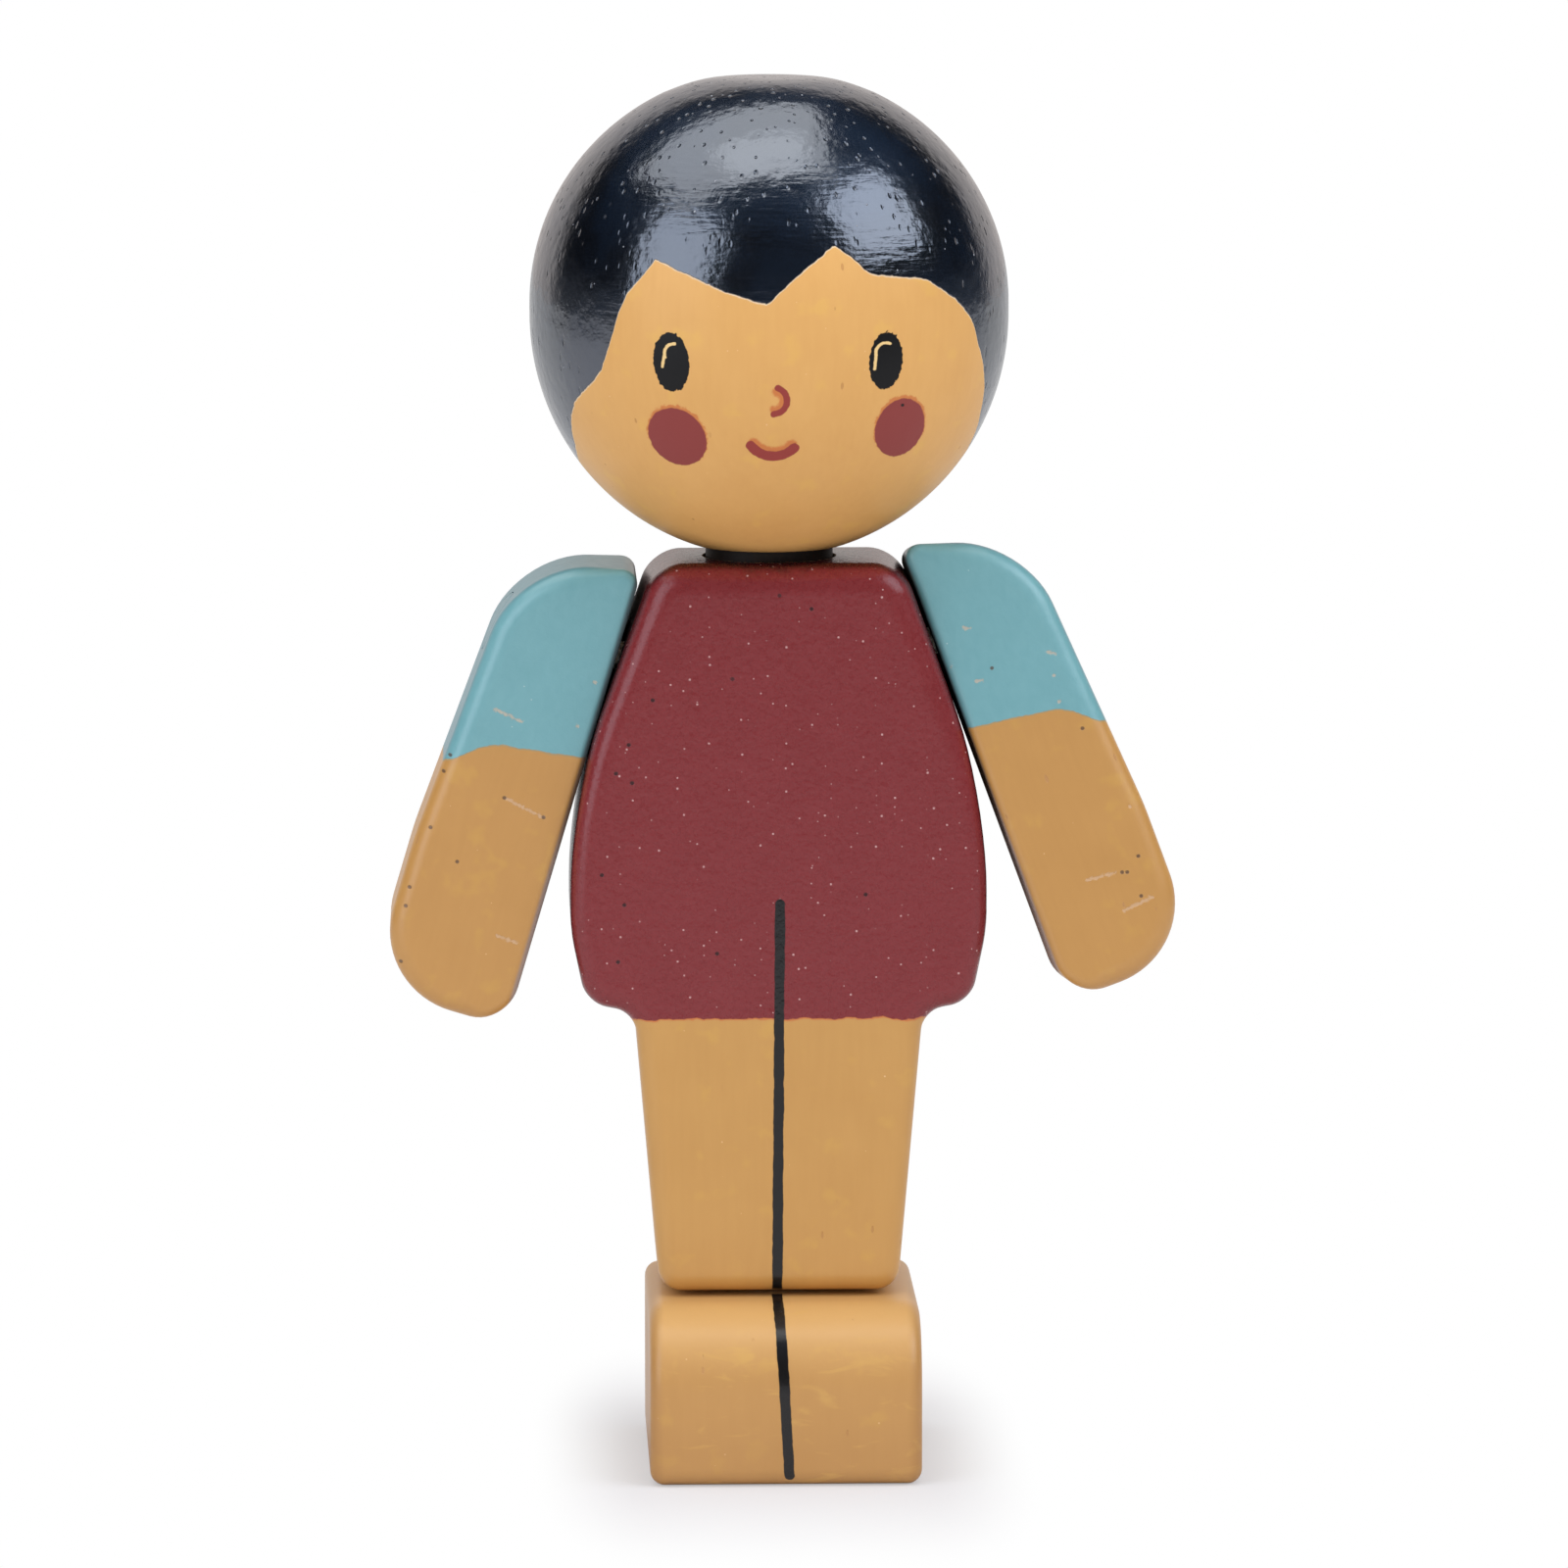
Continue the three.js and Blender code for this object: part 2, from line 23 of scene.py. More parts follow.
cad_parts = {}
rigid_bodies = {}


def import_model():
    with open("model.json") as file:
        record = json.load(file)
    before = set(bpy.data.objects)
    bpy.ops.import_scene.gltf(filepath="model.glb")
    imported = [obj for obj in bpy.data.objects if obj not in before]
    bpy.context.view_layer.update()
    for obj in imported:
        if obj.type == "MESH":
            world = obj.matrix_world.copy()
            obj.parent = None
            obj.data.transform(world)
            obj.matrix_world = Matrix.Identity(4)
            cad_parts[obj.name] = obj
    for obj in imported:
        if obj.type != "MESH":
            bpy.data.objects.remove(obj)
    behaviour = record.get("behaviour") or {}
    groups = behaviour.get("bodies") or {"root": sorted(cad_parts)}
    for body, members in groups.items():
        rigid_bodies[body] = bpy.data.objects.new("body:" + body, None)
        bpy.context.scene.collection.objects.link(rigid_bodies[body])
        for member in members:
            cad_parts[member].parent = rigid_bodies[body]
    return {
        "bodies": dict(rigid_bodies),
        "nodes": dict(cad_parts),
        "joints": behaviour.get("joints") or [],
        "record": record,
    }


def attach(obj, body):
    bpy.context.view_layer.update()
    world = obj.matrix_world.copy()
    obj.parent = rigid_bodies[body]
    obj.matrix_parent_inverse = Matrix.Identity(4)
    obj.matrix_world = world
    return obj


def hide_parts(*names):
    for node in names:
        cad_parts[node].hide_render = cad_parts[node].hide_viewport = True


LOG = logging.getLogger("dollhouse_figure")
MM = 0.001
CORD_Z = 51.3
NECK_X = -0.45
ANKLE_X = 3.8

BMesh = bmesh.types.BMesh
BMVert = bmesh.types.BMVert
Pair = tuple[float, float]
Triple = tuple[float, float, float]
Colour = tuple[float, float, float, float]


def colour(red: int, green: int, blue: int) -> Colour:
    """Turns a colour as it looks on screen, 0 to 255, into the linear one that a shader takes.

    Args:
        red: its red part.
        green: its green part.
        blue: its blue part.

    Returns:
        The colour, with an alpha of 1.
    """
    steps = [part / 255 for part in (red, green, blue)]
    linear = [s / 12.92 if s <= 0.04045 else ((s + 0.055) / 1.055) ** 2.4 for s in steps]
    return (*linear, 1.0)


def maths(operation: str, swapped: bool = False) -> Callable[[Signal, Value], Signal]:
    """A method that puts its signal and another value, or the other way round, through a Math node.

    Args:
        operation: the node's operation.
        swapped: whether the other value comes first, for a reflected operator.

    Returns:
        The method.
    """

    def method(self: Signal, other: Value) -> Signal:
        """Joins the two in one Math node."""
        return self.through(operation, *((other, self) if swapped else (self, other)))

    return method


@dataclass(eq=False)
class Signal:
    """A shader socket that can be used in Python expressions."""

    graph: Graph
    socket: bpy.types.NodeSocket

    def through(self, operation: str, *values: Value) -> Signal:
        """One Math node on these values."""
        return self.graph.node("Math", dict(enumerate(values)), operation=operation)[0]

    __add__ = maths("ADD")
    __radd__ = maths("ADD", swapped=True)
    __sub__ = maths("SUBTRACT")
    __rsub__ = maths("SUBTRACT", swapped=True)
    __mul__ = maths("MULTIPLY")
    __rmul__ = maths("MULTIPLY", swapped=True)
    __truediv__ = maths("DIVIDE")
    smaller = maths("MINIMUM")
    larger = maths("MAXIMUM")

    def __neg__(self) -> Signal:
        """The other sign."""
        return self * -1.0

    def __abs__(self) -> Signal:
        """Size without sign."""
        return self.through("ABSOLUTE", self)

    def length_with(self, other: Value) -> Signal:
        """The hypotenuse on the two."""
        return self.through("SQRT", self * self + other * other)

    def angle_from(self, other: Signal) -> Signal:
        """The angle of (other, self) in degrees."""
        return self.through("ARCTAN2", self, other) * math.degrees(1.0)

    def rising(self, start: float, end: float) -> Signal:
        """0 up to start, 1 from end on, and a smooth rise between them."""
        values = {"Value": self, "From Min": start, "From Max": end, "To Min": 0.0, "To Max": 1.0}
        return self.graph.node("MapRange", values, interpolation_type="SMOOTHSTEP")["Result"]

    def falling(self, start: float, end: float) -> Signal:
        """1 up to start, 0 from end on, and a smooth fall between them."""
        return 1.0 - self.rising(start, end)

    def within(self, reach: float, soft: float = 0.03) -> Signal:
        """1 up to reach and 0 from a little further on."""
        return self.falling(reach, reach + soft)

    def up_to(self, reach: float, soft: float = 0.03) -> Signal:
        """1 inside reach and 0 outside it, with a soft edge on both sides of it."""
        return self.falling(reach - soft, reach + soft)

    def towards(self, other: Signal, share: Signal) -> Signal:
        """This signal at a share of 0, and the other at 1."""
        return self + (other - self) * share

    def parts(self) -> tuple[Signal, Signal, Signal]:
        """The three numbers of a vector."""
        split = self.graph.node("SeparateXYZ", {0: self})
        return split["X"], split["Y"], split["Z"]

    def stretched(self, x: float, y: float, z: float) -> Signal:
        """A vector times (x, y, z)."""
        return self.graph.node("VectorMath", {0: self, 1: (x, y, z)}, operation="MULTIPLY")[0]

    def moved(self, x: float, y: float, z: float) -> Signal:
        """A vector plus (x, y, z)."""
        return self.graph.node("VectorMath", {0: self, 1: (x, y, z)}, operation="ADD")[0]

    def noise(self, scale: float, detail: float = 2.0, distortion: float = 0.0) -> Signal:
        """Cloudy noise around 0.5 with scale bumps a unit."""
        values = {"Vector": self, "Scale": scale, "Detail": detail, "Distortion": distortion}
        return self.graph.node("TexNoise", values)["Fac"]

    def dashes(
        self, across: float, along: float, share: float, thick: float = 0.24, core: float = 0.7
    ) -> Signal:
        """A mask of upright dashes, as wood pores make, and of dots where the grain ends.

        Args:
            across: how far apart the dashes are across the grain.
            along: how far apart they are along it.
            share: how many of them there are, from 0 to 1.
            thick: the reach of a dash as a share of those distances.
            core: how much of that reach is at full depth.

        Returns:
            The mask.
        """
        where = self.stretched(1 / across, 1 / across, 1 / along)
        cell = self.graph.node("TexVoronoi", {"Vector": where, "Scale": 1.0})
        pick, size, _ = cell["Color"].parts()
        dash = (cell["Distance"] / (size * 0.5 + 0.6)).falling(core * thick, thick)
        return dash * pick.falling(share - 0.01, share)

    def specks(self, apart: float, share: float, thick: float = 0.14) -> Signal:
        """A mask of round specks."""
        return self.dashes(apart, apart, share, thick)


Value = Signal | float | Sequence[float]


@dataclass
class Outputs:
    """The outputs of one node as signals, by name or number."""

    graph: Graph
    node: bpy.types.Node

    def __getitem__(self, key: int | str) -> Signal:
        """The output called or numbered key."""
        return Signal(self.graph, self.node.outputs[key])


@dataclass
class Graph:
    """A node tree that is built with Python expressions."""

    tree: bpy.types.NodeTree

    def __post_init__(self) -> None:
        """Clears the tree."""
        self.tree.nodes.clear()

    def node(self, kind: str, values: dict[int | str, Value] | None = None, **settings: object) -> Outputs:
        """Adds a node.

        Args:
            kind: the node's type, without ShaderNode in front.
            values: what each input socket is given, a number, a vector or a signal.
            settings: its properties, set before its sockets; stops are a ramp's (place, level) pairs.

        Returns:
            The node's outputs.
        """
        node = self.tree.nodes.new("ShaderNode" + kind)
        for name, setting in settings.items():
            if name == "stops":
                set_stops(node.color_ramp.elements, setting)
            else:
                setattr(node, name, setting)
        for key, value in (values or {}).items():
            if isinstance(value, Signal):
                self.tree.links.new(value.socket, node.inputs[key])
            else:
                node.inputs[key].default_value = value
        return Outputs(self, node)


def set_stops(elements: bpy.types.ColorRampElements, stops: Sequence[Pair]) -> None:
    """Gives a ramp its stops.

    Args:
        elements: the ramp's own stops, of which a new ramp has two.
        stops: the place and the grey level of each.
    """
    while len(elements) < len(stops):
        elements.new(1.0)
    for element, (place, level) in zip(elements, stops):
        element.position = place
        element.color = (level, level, level, 1.0)


def mix(first: Value, second: Value, share: Value) -> Signal:
    """The colour between first, at a share of 0, and second, at 1."""
    graph = next(value.graph for value in (share, first, second) if isinstance(value, Signal))
    return graph.node("Mix", {0: share, 6: first, 7: second}, data_type="RGBA")[2]


def seen_from(centre: Pair, turn: float, across: Signal, up: Signal) -> tuple[Signal, Signal]:
    """How far a place lies ahead of a centre, in the direction turn in degrees, and how far to its left.

    Args:
        centre: the centre.
        turn: the direction, in degrees from across to up.
        across: how far to the figure's left a place is, in millimetres.
        up: how high it is.

    Returns:
        The two distances, which keep their signs.
    """
    cosine, sine = math.cos(math.radians(turn)), math.sin(math.radians(turn))
    x, z = across - centre[0], up - centre[1]
    return x * cosine + z * sine, z * cosine - x * sine


@dataclass(frozen=True)
class Ellipse:
    """A filled ellipse: its centre, its half sizes and its turn in degrees."""

    centre: Pair
    half: Pair
    turn: float = 0.0

    def reach(self, across: Signal, up: Signal) -> Signal:
        """How far out a place is: 0 in the middle and 1 on the edge."""
        ahead, aside = seen_from(self.centre, self.turn, across, up)
        return (ahead / self.half[0]).length_with(aside / self.half[1])


@dataclass(frozen=True)
class Arc:
    """A brush stroke along part of a circle: its middle points in the direction facing, in degrees."""

    centre: Pair
    radius: float
    facing: float
    spread: float

    def distance(self, across: Signal, up: Signal) -> Signal:
        """How far a place is from the stroke's middle line.

        Args:
            across: how far to the figure's left a place is, in millimetres.
            up: how high it is.

        Returns:
            The distance.
        """
        ahead, aside = seen_from(self.centre, self.facing, across, up)
        aside = abs(aside)
        spread = math.radians(self.spread)
        end = self.radius * math.cos(spread), self.radius * math.sin(spread)
        to_end = (ahead - end[0]).length_with(aside - end[1])
        to_line = abs(ahead.length_with(aside) - self.radius)
        beyond = aside.angle_from(ahead).rising(self.spread - 0.01, self.spread)
        return to_line + (to_end - to_line) * beyond


@dataclass(frozen=True)
class Stroke:
    """A straight brush stroke or scratch between two points."""

    start: Pair
    end: Pair

    def distance(self, across: Signal, up: Signal) -> Signal:
        """How far a place is from the stroke's middle line.

        Args:
            across: how far to the figure's left a place is, in millimetres.
            up: how high it is.

        Returns:
            The distance.
        """
        dx, dz = self.end[0] - self.start[0], self.end[1] - self.start[1]
        x, z = across - self.start[0], up - self.start[1]
        share = ((x * dx + z * dz) / (dx * dx + dz * dz)).larger(0.0).smaller(1.0)
        return (x - share * dx).length_with(z - share * dz)


def strokes(*places: tuple[float, ...]) -> tuple[Stroke, ...]:
    """Marks from their ends' x, z, x, z, or from only one x, z for a dot."""
    return tuple(Stroke(place[:2], place[2:] or (place[0] + 0.02, place[1])) for place in places)


def nearest(marks: Sequence[Stroke], across: Signal, up: Signal) -> Signal:
    """The distance to the nearest of the marks."""
    return reduce(Signal.smaller, [mark.distance(across, up) for mark in marks])


@dataclass
class Surface:
    """What a finish gives to the shader: colours, roughness and a height in millimetres for the bump."""

    shade: Signal
    roughness: Signal | float
    height: Signal
    specular: float = 0.5
    tint: Colour = (1.0, 1.0, 1.0, 1.0)
    ior: float = 1.5
    over: Surface | None = None
    share: Signal | float = 0.0

    def shader(self) -> Signal:
        """Makes the surface's shader, and that of the surface over it if there is one."""
        graph = self.shade.graph
        bump = graph.node("Bump", {"Strength": 1.0, "Distance": MM, "Height": self.height})["Normal"]
        values = {
            "Base Color": self.shade,
            "Roughness": self.roughness,
            "Specular IOR Level": self.specular,
            "Specular Tint": self.tint,
            "IOR": self.ior,
            "Normal": bump,
        }
        shader = graph.node("BsdfPrincipled", values)["BSDF"]
        if self.over is None:
            return shader
        return graph.node("MixShader", {0: self.share, 1: shader, 2: self.over.shader()})["Shader"]


def new_material(name: str) -> tuple[Material, Graph, Signal]:
    """An empty material, its nodes, and where a point is on the piece, in millimetres.

    Args:
        name: the material's name.

    Returns:
        The three.
    """
    material = bpy.data.materials.new(name)
    material.use_nodes = True
    graph = Graph(material.node_tree)
    return material, graph, graph.node("TexCoord")["Object"].stretched(1 / MM, 1 / MM, 1 / MM)


@dataclass(frozen=True)
class Finish:
    """A finish of the figure. The subclasses say how it is painted."""

    name: str

    def material(self) -> Material:
        """Makes the finish's material."""
        material, graph, place = new_material(self.name)
        graph.node("OutputMaterial", {"Surface": self.paint(place).shader()})
        return material

    def paint(self, place: Signal) -> Surface:
        """Paints the finish.

        Args:
            place: where a point is on the piece, in millimetres.

        Returns:
            What the shader is given.
        """
        raise NotImplementedError


@dataclass(frozen=True)
class Skin:
    """The shades of a flesh-coloured paint: its own, a deeper one and a yellowed one."""

    light: Colour
    deep: Colour
    yellow: Colour


WOOD_LIGHT = colour(222, 190, 146)
WOOD_DARK = colour(196, 158, 112)
LINE_BLACK = colour(22, 20, 19)
DUST = colour(176, 178, 184)
FUZZ_ORANGE = colour(196, 104, 52)
HAIR_TINT = (0.84, 0.90, 1.0, 1.0)
HAIR_IOR = 1.75
# The arm, leg and foot paints are darker copies of the face's paint: painted shade for the weaker light
# lower down.
FACE_SKIN = Skin(colour(220, 168, 99), colour(209, 154, 86), colour(223, 175, 93))
ARM_SKIN = Skin(colour(191, 140, 73), colour(180, 129, 63), colour(198, 150, 70))
LEG_SKIN = Skin(colour(197, 148, 81), colour(186, 136, 71), colour(203, 156, 78))
FOOT_SKIN = Skin(colour(193, 144, 82), colour(182, 133, 72), colour(202, 155, 80))


def bare_wood(place: Signal) -> Signal:
    """The colour of sawn, unpainted hardwood with its grain upright."""
    return mix(WOOD_LIGHT, WOOD_DARK, place.stretched(1.0, 1.0, 0.06).noise(0.9, 3.0, 0.4))


def skin_paint(place: Signal, skin: Skin) -> Surface:
    """The satin flesh-coloured paint of face, arms, legs and feet, with the grain showing through.

    Args:
        place: where a point is on the piece, in millimetres.
        skin: its shades.

    Returns:
        What the shader is given.
    """
    grain = place.stretched(1.0, 1.0, 0.12).noise(2.2, 3.0)
    cloud = place.noise(0.28)
    yellow = place.moved(40.0, 0.0, 7.0).noise(0.55).rising(0.58, 0.74)
    pores = place.dashes(0.45, 1.3, 0.035)
    grit = place.moved(0.0, 3.0, 0.0).specks(0.6, 0.08, 0.1)
    shade = mix(skin.light, skin.deep, (grain - 0.5) * 0.5 + (cloud - 0.5) * 0.7 + 0.2)
    shade = mix(shade, skin.yellow, yellow * 0.5)
    shade = mix(shade, colour(176, 122, 70), pores * 0.5)
    shade = mix(shade, colour(240, 206, 160), grit * 0.5)
    height = grain * 0.006 + place.noise(2.6) * 0.008 - pores * 0.02 + grit * 0.006
    return Surface(shade, 0.38 + pores * 0.2, height, 0.4)


@dataclass(frozen=True)
class HeadPaint(Finish):
    """The head: glossy dark hair above a hairline, and a satin face with painted features.

    The hairline gives its height at each angle around the head, in degrees with 0 at the front.
    """

    centre: Pair = (NECK_X, 72.812)
    hairline: tuple[Pair, ...] = (
        (-95, -10.4), (-77, -9.0), (-71, -8.1), (-65, -6.4), (-59, -5.1), (-50, -3.8), (-46, -2.9),
        (-42.5, -1.2), (-40, 0.6), (-37.5, 1.9), (-33, 3.2), (-30.4, 4.05), (-21, 3.2), (-12.5, 2.25),
        (-2.1, 1.45), (4.5, 3.1), (14.5, 5.03), (18.5, 4.3), (23, 3.25), (27, 3.1), (39, 2.75),
        (48.5, 1.35), (55, 0.0), (58, -1.5), (62, -2.9), (66, -4.4), (70, -6.2), (78, -8.4), (95, -10.4),
    )
    hairline_reach: float = 100.0
    hairline_low: float = -12.0
    hairline_span: float = 18.0
    eyes: tuple[Ellipse, ...] = (
        Ellipse((-6.40, -2.17), (1.10, 1.86), 5), Ellipse((6.77, -2.12), (1.06, 1.82), -4),
    )
    glints: tuple[Arc, ...] = (Arc((-6.22, -1.62), 0.60, 146, 58), Arc((6.74, -1.62), 0.60, 128, 66))
    glint_tails: tuple[Stroke, ...] = strokes((-6.82, -1.7, -6.94, -2.45), (6.15, -1.7, 6.06, -2.6))
    cheeks: tuple[Ellipse, ...] = (
        Ellipse((-6.0, -6.9), (2.03, 1.66), -50), Ellipse((7.70, -6.45), (1.95, 1.56), 70),
    )
    cheek_dot: Stroke = Stroke((7.84, -5.0), (7.86, -5.0))
    nose: Arc = Arc((-0.18, -4.47), 0.84, -8, 80)
    mouth: Arc = Arc((-0.13, -6.22), 1.80, -93, 48)
    bore_radius: float = 4.15

    def hair_edge(self, around: Signal) -> Signal:
        """The height of the hairline at each angle around the head.

        Args:
            around: the angle in degrees, 0 at the front.

        Returns:
            The height above the head's centre.
        """
        circle = 2 * self.hairline_reach
        stops = [
            ((angle + self.hairline_reach) / circle, (height - self.hairline_low) / self.hairline_span)
            for angle, height in self.hairline
        ]
        ramp = around.graph.node("ValToRGB", {"Fac": around / circle + 0.5}, stops=stops)
        return ramp["Color"].parts()[0] * self.hairline_span + self.hairline_low

    def hair(self, place: Signal, over: Signal, front: Signal) -> Surface:
        """The glossy hair paint, whose brush marks lie level along the hairline.

        Args:
            place: a place from the head's centre.
            over: how far it is above the hairline.
            front: a mask of the head's front half.

        Returns:
            What the shader is given.
        """
        across, _, up = place.parts()
        cloud = place.noise(0.22, 3.0)
        shade = mix(colour(2, 4, 8), colour(5, 15, 27), cloud.rising(0.35, 0.65))
        deep = up.rising(4.0, 9.0).larger(abs(across).rising(9.5, 12.5)) * 0.75 + 0.25
        pores = place.dashes(0.62, 1.8, 0.9, 0.26, 0.15) * deep
        dust = place.moved(3.1, 0.0, 0.0).specks(0.62, 0.1, 0.12)
        ridges = place.stretched(0.25, 0.25, 2.0).noise(1.5, 3.0)
        near_edge = over.falling(4.5, 8.5) * abs(across).falling(8.5, 12.0) * front
        grain = place.stretched(1.0, 1.0, 0.16).noise(1.7)
        height = grain * 0.01 + ridges * near_edge * 0.036 + place.noise(0.42) * 0.035
        height = height + place.noise(1.3, 3.0) * 0.04 - pores * 0.045 + dust * 0.02
        roughness = 0.18 + pores * 0.2 + dust * 0.3 + (cloud - 0.5) * 0.08
        return Surface(mix(shade, DUST, dust * 0.7), roughness, height)

    def features(self, across: Signal, up: Signal, front: Signal, skin: Signal) -> Signal:
        """Paints cheeks, nose, mouth and eyes over the skin colour, and returns the colour.

        Args:
            across: how far to the figure's left a place is, in millimetres.
            up: how high it is above the head's centre.
            front: a mask of the head's front half.
            skin: the colour under them.

        Returns:
            The colour with the features on it.
        """
        flat = across.graph.node("CombineXYZ", {0: across, 2: up})["Vector"]
        ragged = (flat.noise(3.2, 3.0) - 0.5) * 0.16
        shade = skin
        for cheek in self.cheeks:
            rim = (cheek.reach(across, up - 0.13) + ragged * 1.6).falling(0.98, 1.06)
            shade = mix(shade, FUZZ_ORANGE, rim * front * 0.75)
            edge = cheek.reach(across, up) + ragged * 0.5
            shade = mix(shade, colour(138, 59, 55), edge.falling(0.96, 1.0) * front)
        for line, half, inwards in ((self.nose, 0.2, 0.24), (self.mouth, 0.31, 0.22)):
            fuzz = replace(line, radius=line.radius - inwards).distance(across, up) + ragged * 1.8
            shade = mix(shade, FUZZ_ORANGE, fuzz.falling(half - 0.05, half + 0.15) * front * 0.8)
            edge = line.distance(across, up) + ragged * 0.8
            shade = mix(shade, colour(148, 58, 52), edge.up_to(half) * front)
        shade = mix(shade, LINE_BLACK, self.cheek_dot.distance(across, up).falling(0.06, 0.13) * front)
        for eye, glint, tail in zip(self.eyes, self.glints, self.glint_tails):
            edge = eye.reach(across, up) + ragged * 1.7
            shade = mix(shade, colour(9, 9, 10), edge.falling(0.97, 1.01) * front)
            light = glint.distance(across, up).smaller(tail.distance(across, up)) + ragged * 0.9
            shade = mix(shade, colour(234, 198, 134), light.falling(0.06, 0.12) * front)
        return shade

    def paint(self, place: Signal) -> Surface:
        """Paints hair and face, and leaves the bore bare.

        Args:
            place: where a point is on the piece, in millimetres.

        Returns:
            What the shader is given.
        """
        local = place.moved(-self.centre[0], 0.0, -self.centre[1])
        across, depth, up = local.parts()
        front = depth.falling(-1.0, 0.0)
        ragged = (local.noise(1.9, 3.0) - 0.5) * 0.28
        over = up - self.hair_edge(across.angle_from(-depth)) + ragged
        is_hair = over.rising(-0.03, 0.03)
        skin = skin_paint(local, FACE_SKIN)
        hair = self.hair(local, over, front)
        face = self.features(across, up, front, skin.shade)
        halo = over.rising(-0.12, -0.05) * over.falling(0.0, 0.04)
        face = mix(face, colour(232, 214, 184), halo * 0.7)
        bare = across.length_with(depth).within(self.bore_radius)
        bare = bare * up.falling(-2.0, -1.9)
        face = mix(face, bare_wood(local), bare)
        height = skin.height.towards(hair.height, is_hair) + over.rising(-0.05, 0.1) * 0.012
        gloss = Surface(hair.shade, hair.roughness, height, 1.0, HAIR_TINT, HAIR_IOR)
        matt = skin.roughness + bare * 0.3 + 0.04
        return Surface(face, matt, height, 0.28, over=gloss, share=is_hair * (1.0 - bare))


@dataclass(frozen=True)
class BodyPaint(Finish):
    """Torso and legs: a maroon suit above a ragged hem, bare-coloured legs and the line between them."""

    hem: float = 28.65
    half_thickness: float = 6.0
    line: Stroke = Stroke((0.05, 35.9), (-0.13, 11.0))
    line_half: float = 0.32
    pinholes: tuple[Stroke, ...] = strokes(
        (-9.4, 46.0), (-10.2, 44.2), (-9.2, 43.6), (-7.9, 48.8), (-11.1, 37.8), (-9.7, 35.9),
        (2.0, 54.5), (5.4, 36.5), (-3.9, 32.8), (-10.1, 32.3),
    )
    cord_bore: float = 1.64
    neck_bore: float = 4.22
    ankle_bore: float = 2.22

    def suit(self, place: Signal, depth: Signal) -> Surface:
        """The maroon paint: orange peel, pale specks, and rounded edges deeper red from thicker paint and
        painted shade.

        Args:
            place: where a point is on the piece, in millimetres.
            depth: how far behind the board's middle it is.

        Returns:
            What the shader is given.
        """
        mottle = place.noise(3.0, 3.0, 0.6)
        share = mottle.rising(0.3, 0.7) * 0.45 + place.noise(0.35, 3.0) * 0.55
        shade = mix(colour(117, 33, 36), colour(129, 45, 48), share)
        # Thicker paint and painted shade: the rounded edges go a darker, deeper red all round.
        edge = abs(depth).rising(self.half_thickness - 1.15, self.half_thickness - 0.55)
        shade = mix(colour(74, 15, 17), shade, edge)
        pale = place.specks(0.4, 0.24, 0.19)
        shade = mix(shade, colour(222, 180, 176), pale * 0.6)
        dark = place.moved(9.0, 0.0, 0.0).specks(1.5, 0.08, 0.09)
        shade = mix(shade, colour(60, 22, 24), dark * 0.8)
        height = place.noise(1.9, 3.0, 0.3) * 0.03 + place.noise(5.0) * 0.01 + pale * 0.01 - dark * 0.03
        return Surface(shade, 0.28 + (mottle - 0.5) * 0.12, height)

    def neck_smear_and_shadow(self, place: Signal) -> Signal:
        """A mask of the dark smear that ran from the neck over the board's top, also painted shadow under
        the head.
        """
        across, depth, up = place.parts()
        spread = (across - NECK_X).length_with(depth) + place.noise(0.9, 4.0) * 5.0
        # On the top rim near the neck this darkening is painted shadow of the head as well as smear.
        return spread.falling(6.2, 8.6) * up.rising(56.2, 57.0) * 0.85

    def paint(self, place: Signal) -> Surface:
        """Paints the suit, the legs and the line, and leaves the bores bare.

        Args:
            place: where a point is on the piece, in millimetres.

        Returns:
            What the shader is given.
        """
        across, depth, up = place.parts()
        wobble = place.noise(1.1, 3.0) - 0.5
        over = up - self.hem + wobble * 0.55
        is_suit = over.rising(-0.03, 0.03)
        skin = skin_paint(place, LEG_SKIN)
        suit = self.suit(place, depth)
        shade = mix(skin.shade, FUZZ_ORANGE, over.rising(-0.14, -0.04) * 0.8)
        shade = mix(shade, suit.shade, is_suit)
        # Painted shade: the flanks in the gap behind the arms are painted near-black and made matt.
        gap_shading = abs(depth).falling(4.0, 4.7) * up.rising(44.0, 47.0) * up.falling(54.8, 56.2)
        shade = mix(shade, colour(22, 11, 12), gap_shading * 0.9)
        front = depth.falling(-5.5, -5.0)
        holes = nearest(self.pinholes, across, up).falling(0.09, 0.14) * front
        shade = mix(shade, colour(30, 14, 14), holes * 0.85)
        line = (self.line.distance(across, up) + wobble * 0.16).up_to(self.line_half) * front
        shade = mix(shade, LINE_BLACK, line.larger(self.neck_smear_and_shadow(place)))
        bare = self.bores(across, depth, up)
        shade = mix(shade, bare_wood(place), bare)
        gloss = skin.roughness.towards(suit.roughness, is_suit)
        height = skin.height.towards(suit.height, is_suit) - holes * 0.03
        matt = gloss + bare * 0.25 - line * 0.06 + gap_shading * 0.55
        return Surface(shade, matt, height + is_suit * 0.01)

    def bores(self, across: Signal, depth: Signal, up: Signal) -> Signal:
        """A mask of the bore walls, which the paint doesn't reach.

        Args:
            across: how far to the figure's left a place is, in millimetres.
            depth: how far back it is.
            up: how high it is.

        Returns:
            The mask.
        """
        bare = depth.length_with(up - CORD_Z).within(self.cord_bore)
        neck = (across - NECK_X).length_with(depth).within(self.neck_bore)
        bare = bare.larger(neck * up.rising(44.0, 44.5))
        for x in (-ANKLE_X, ANKLE_X):
            ankle = (across - x).length_with(depth).within(self.ankle_bore)
            bare = bare.larger(ankle * up.falling(19.5, 19.8))
        return bare


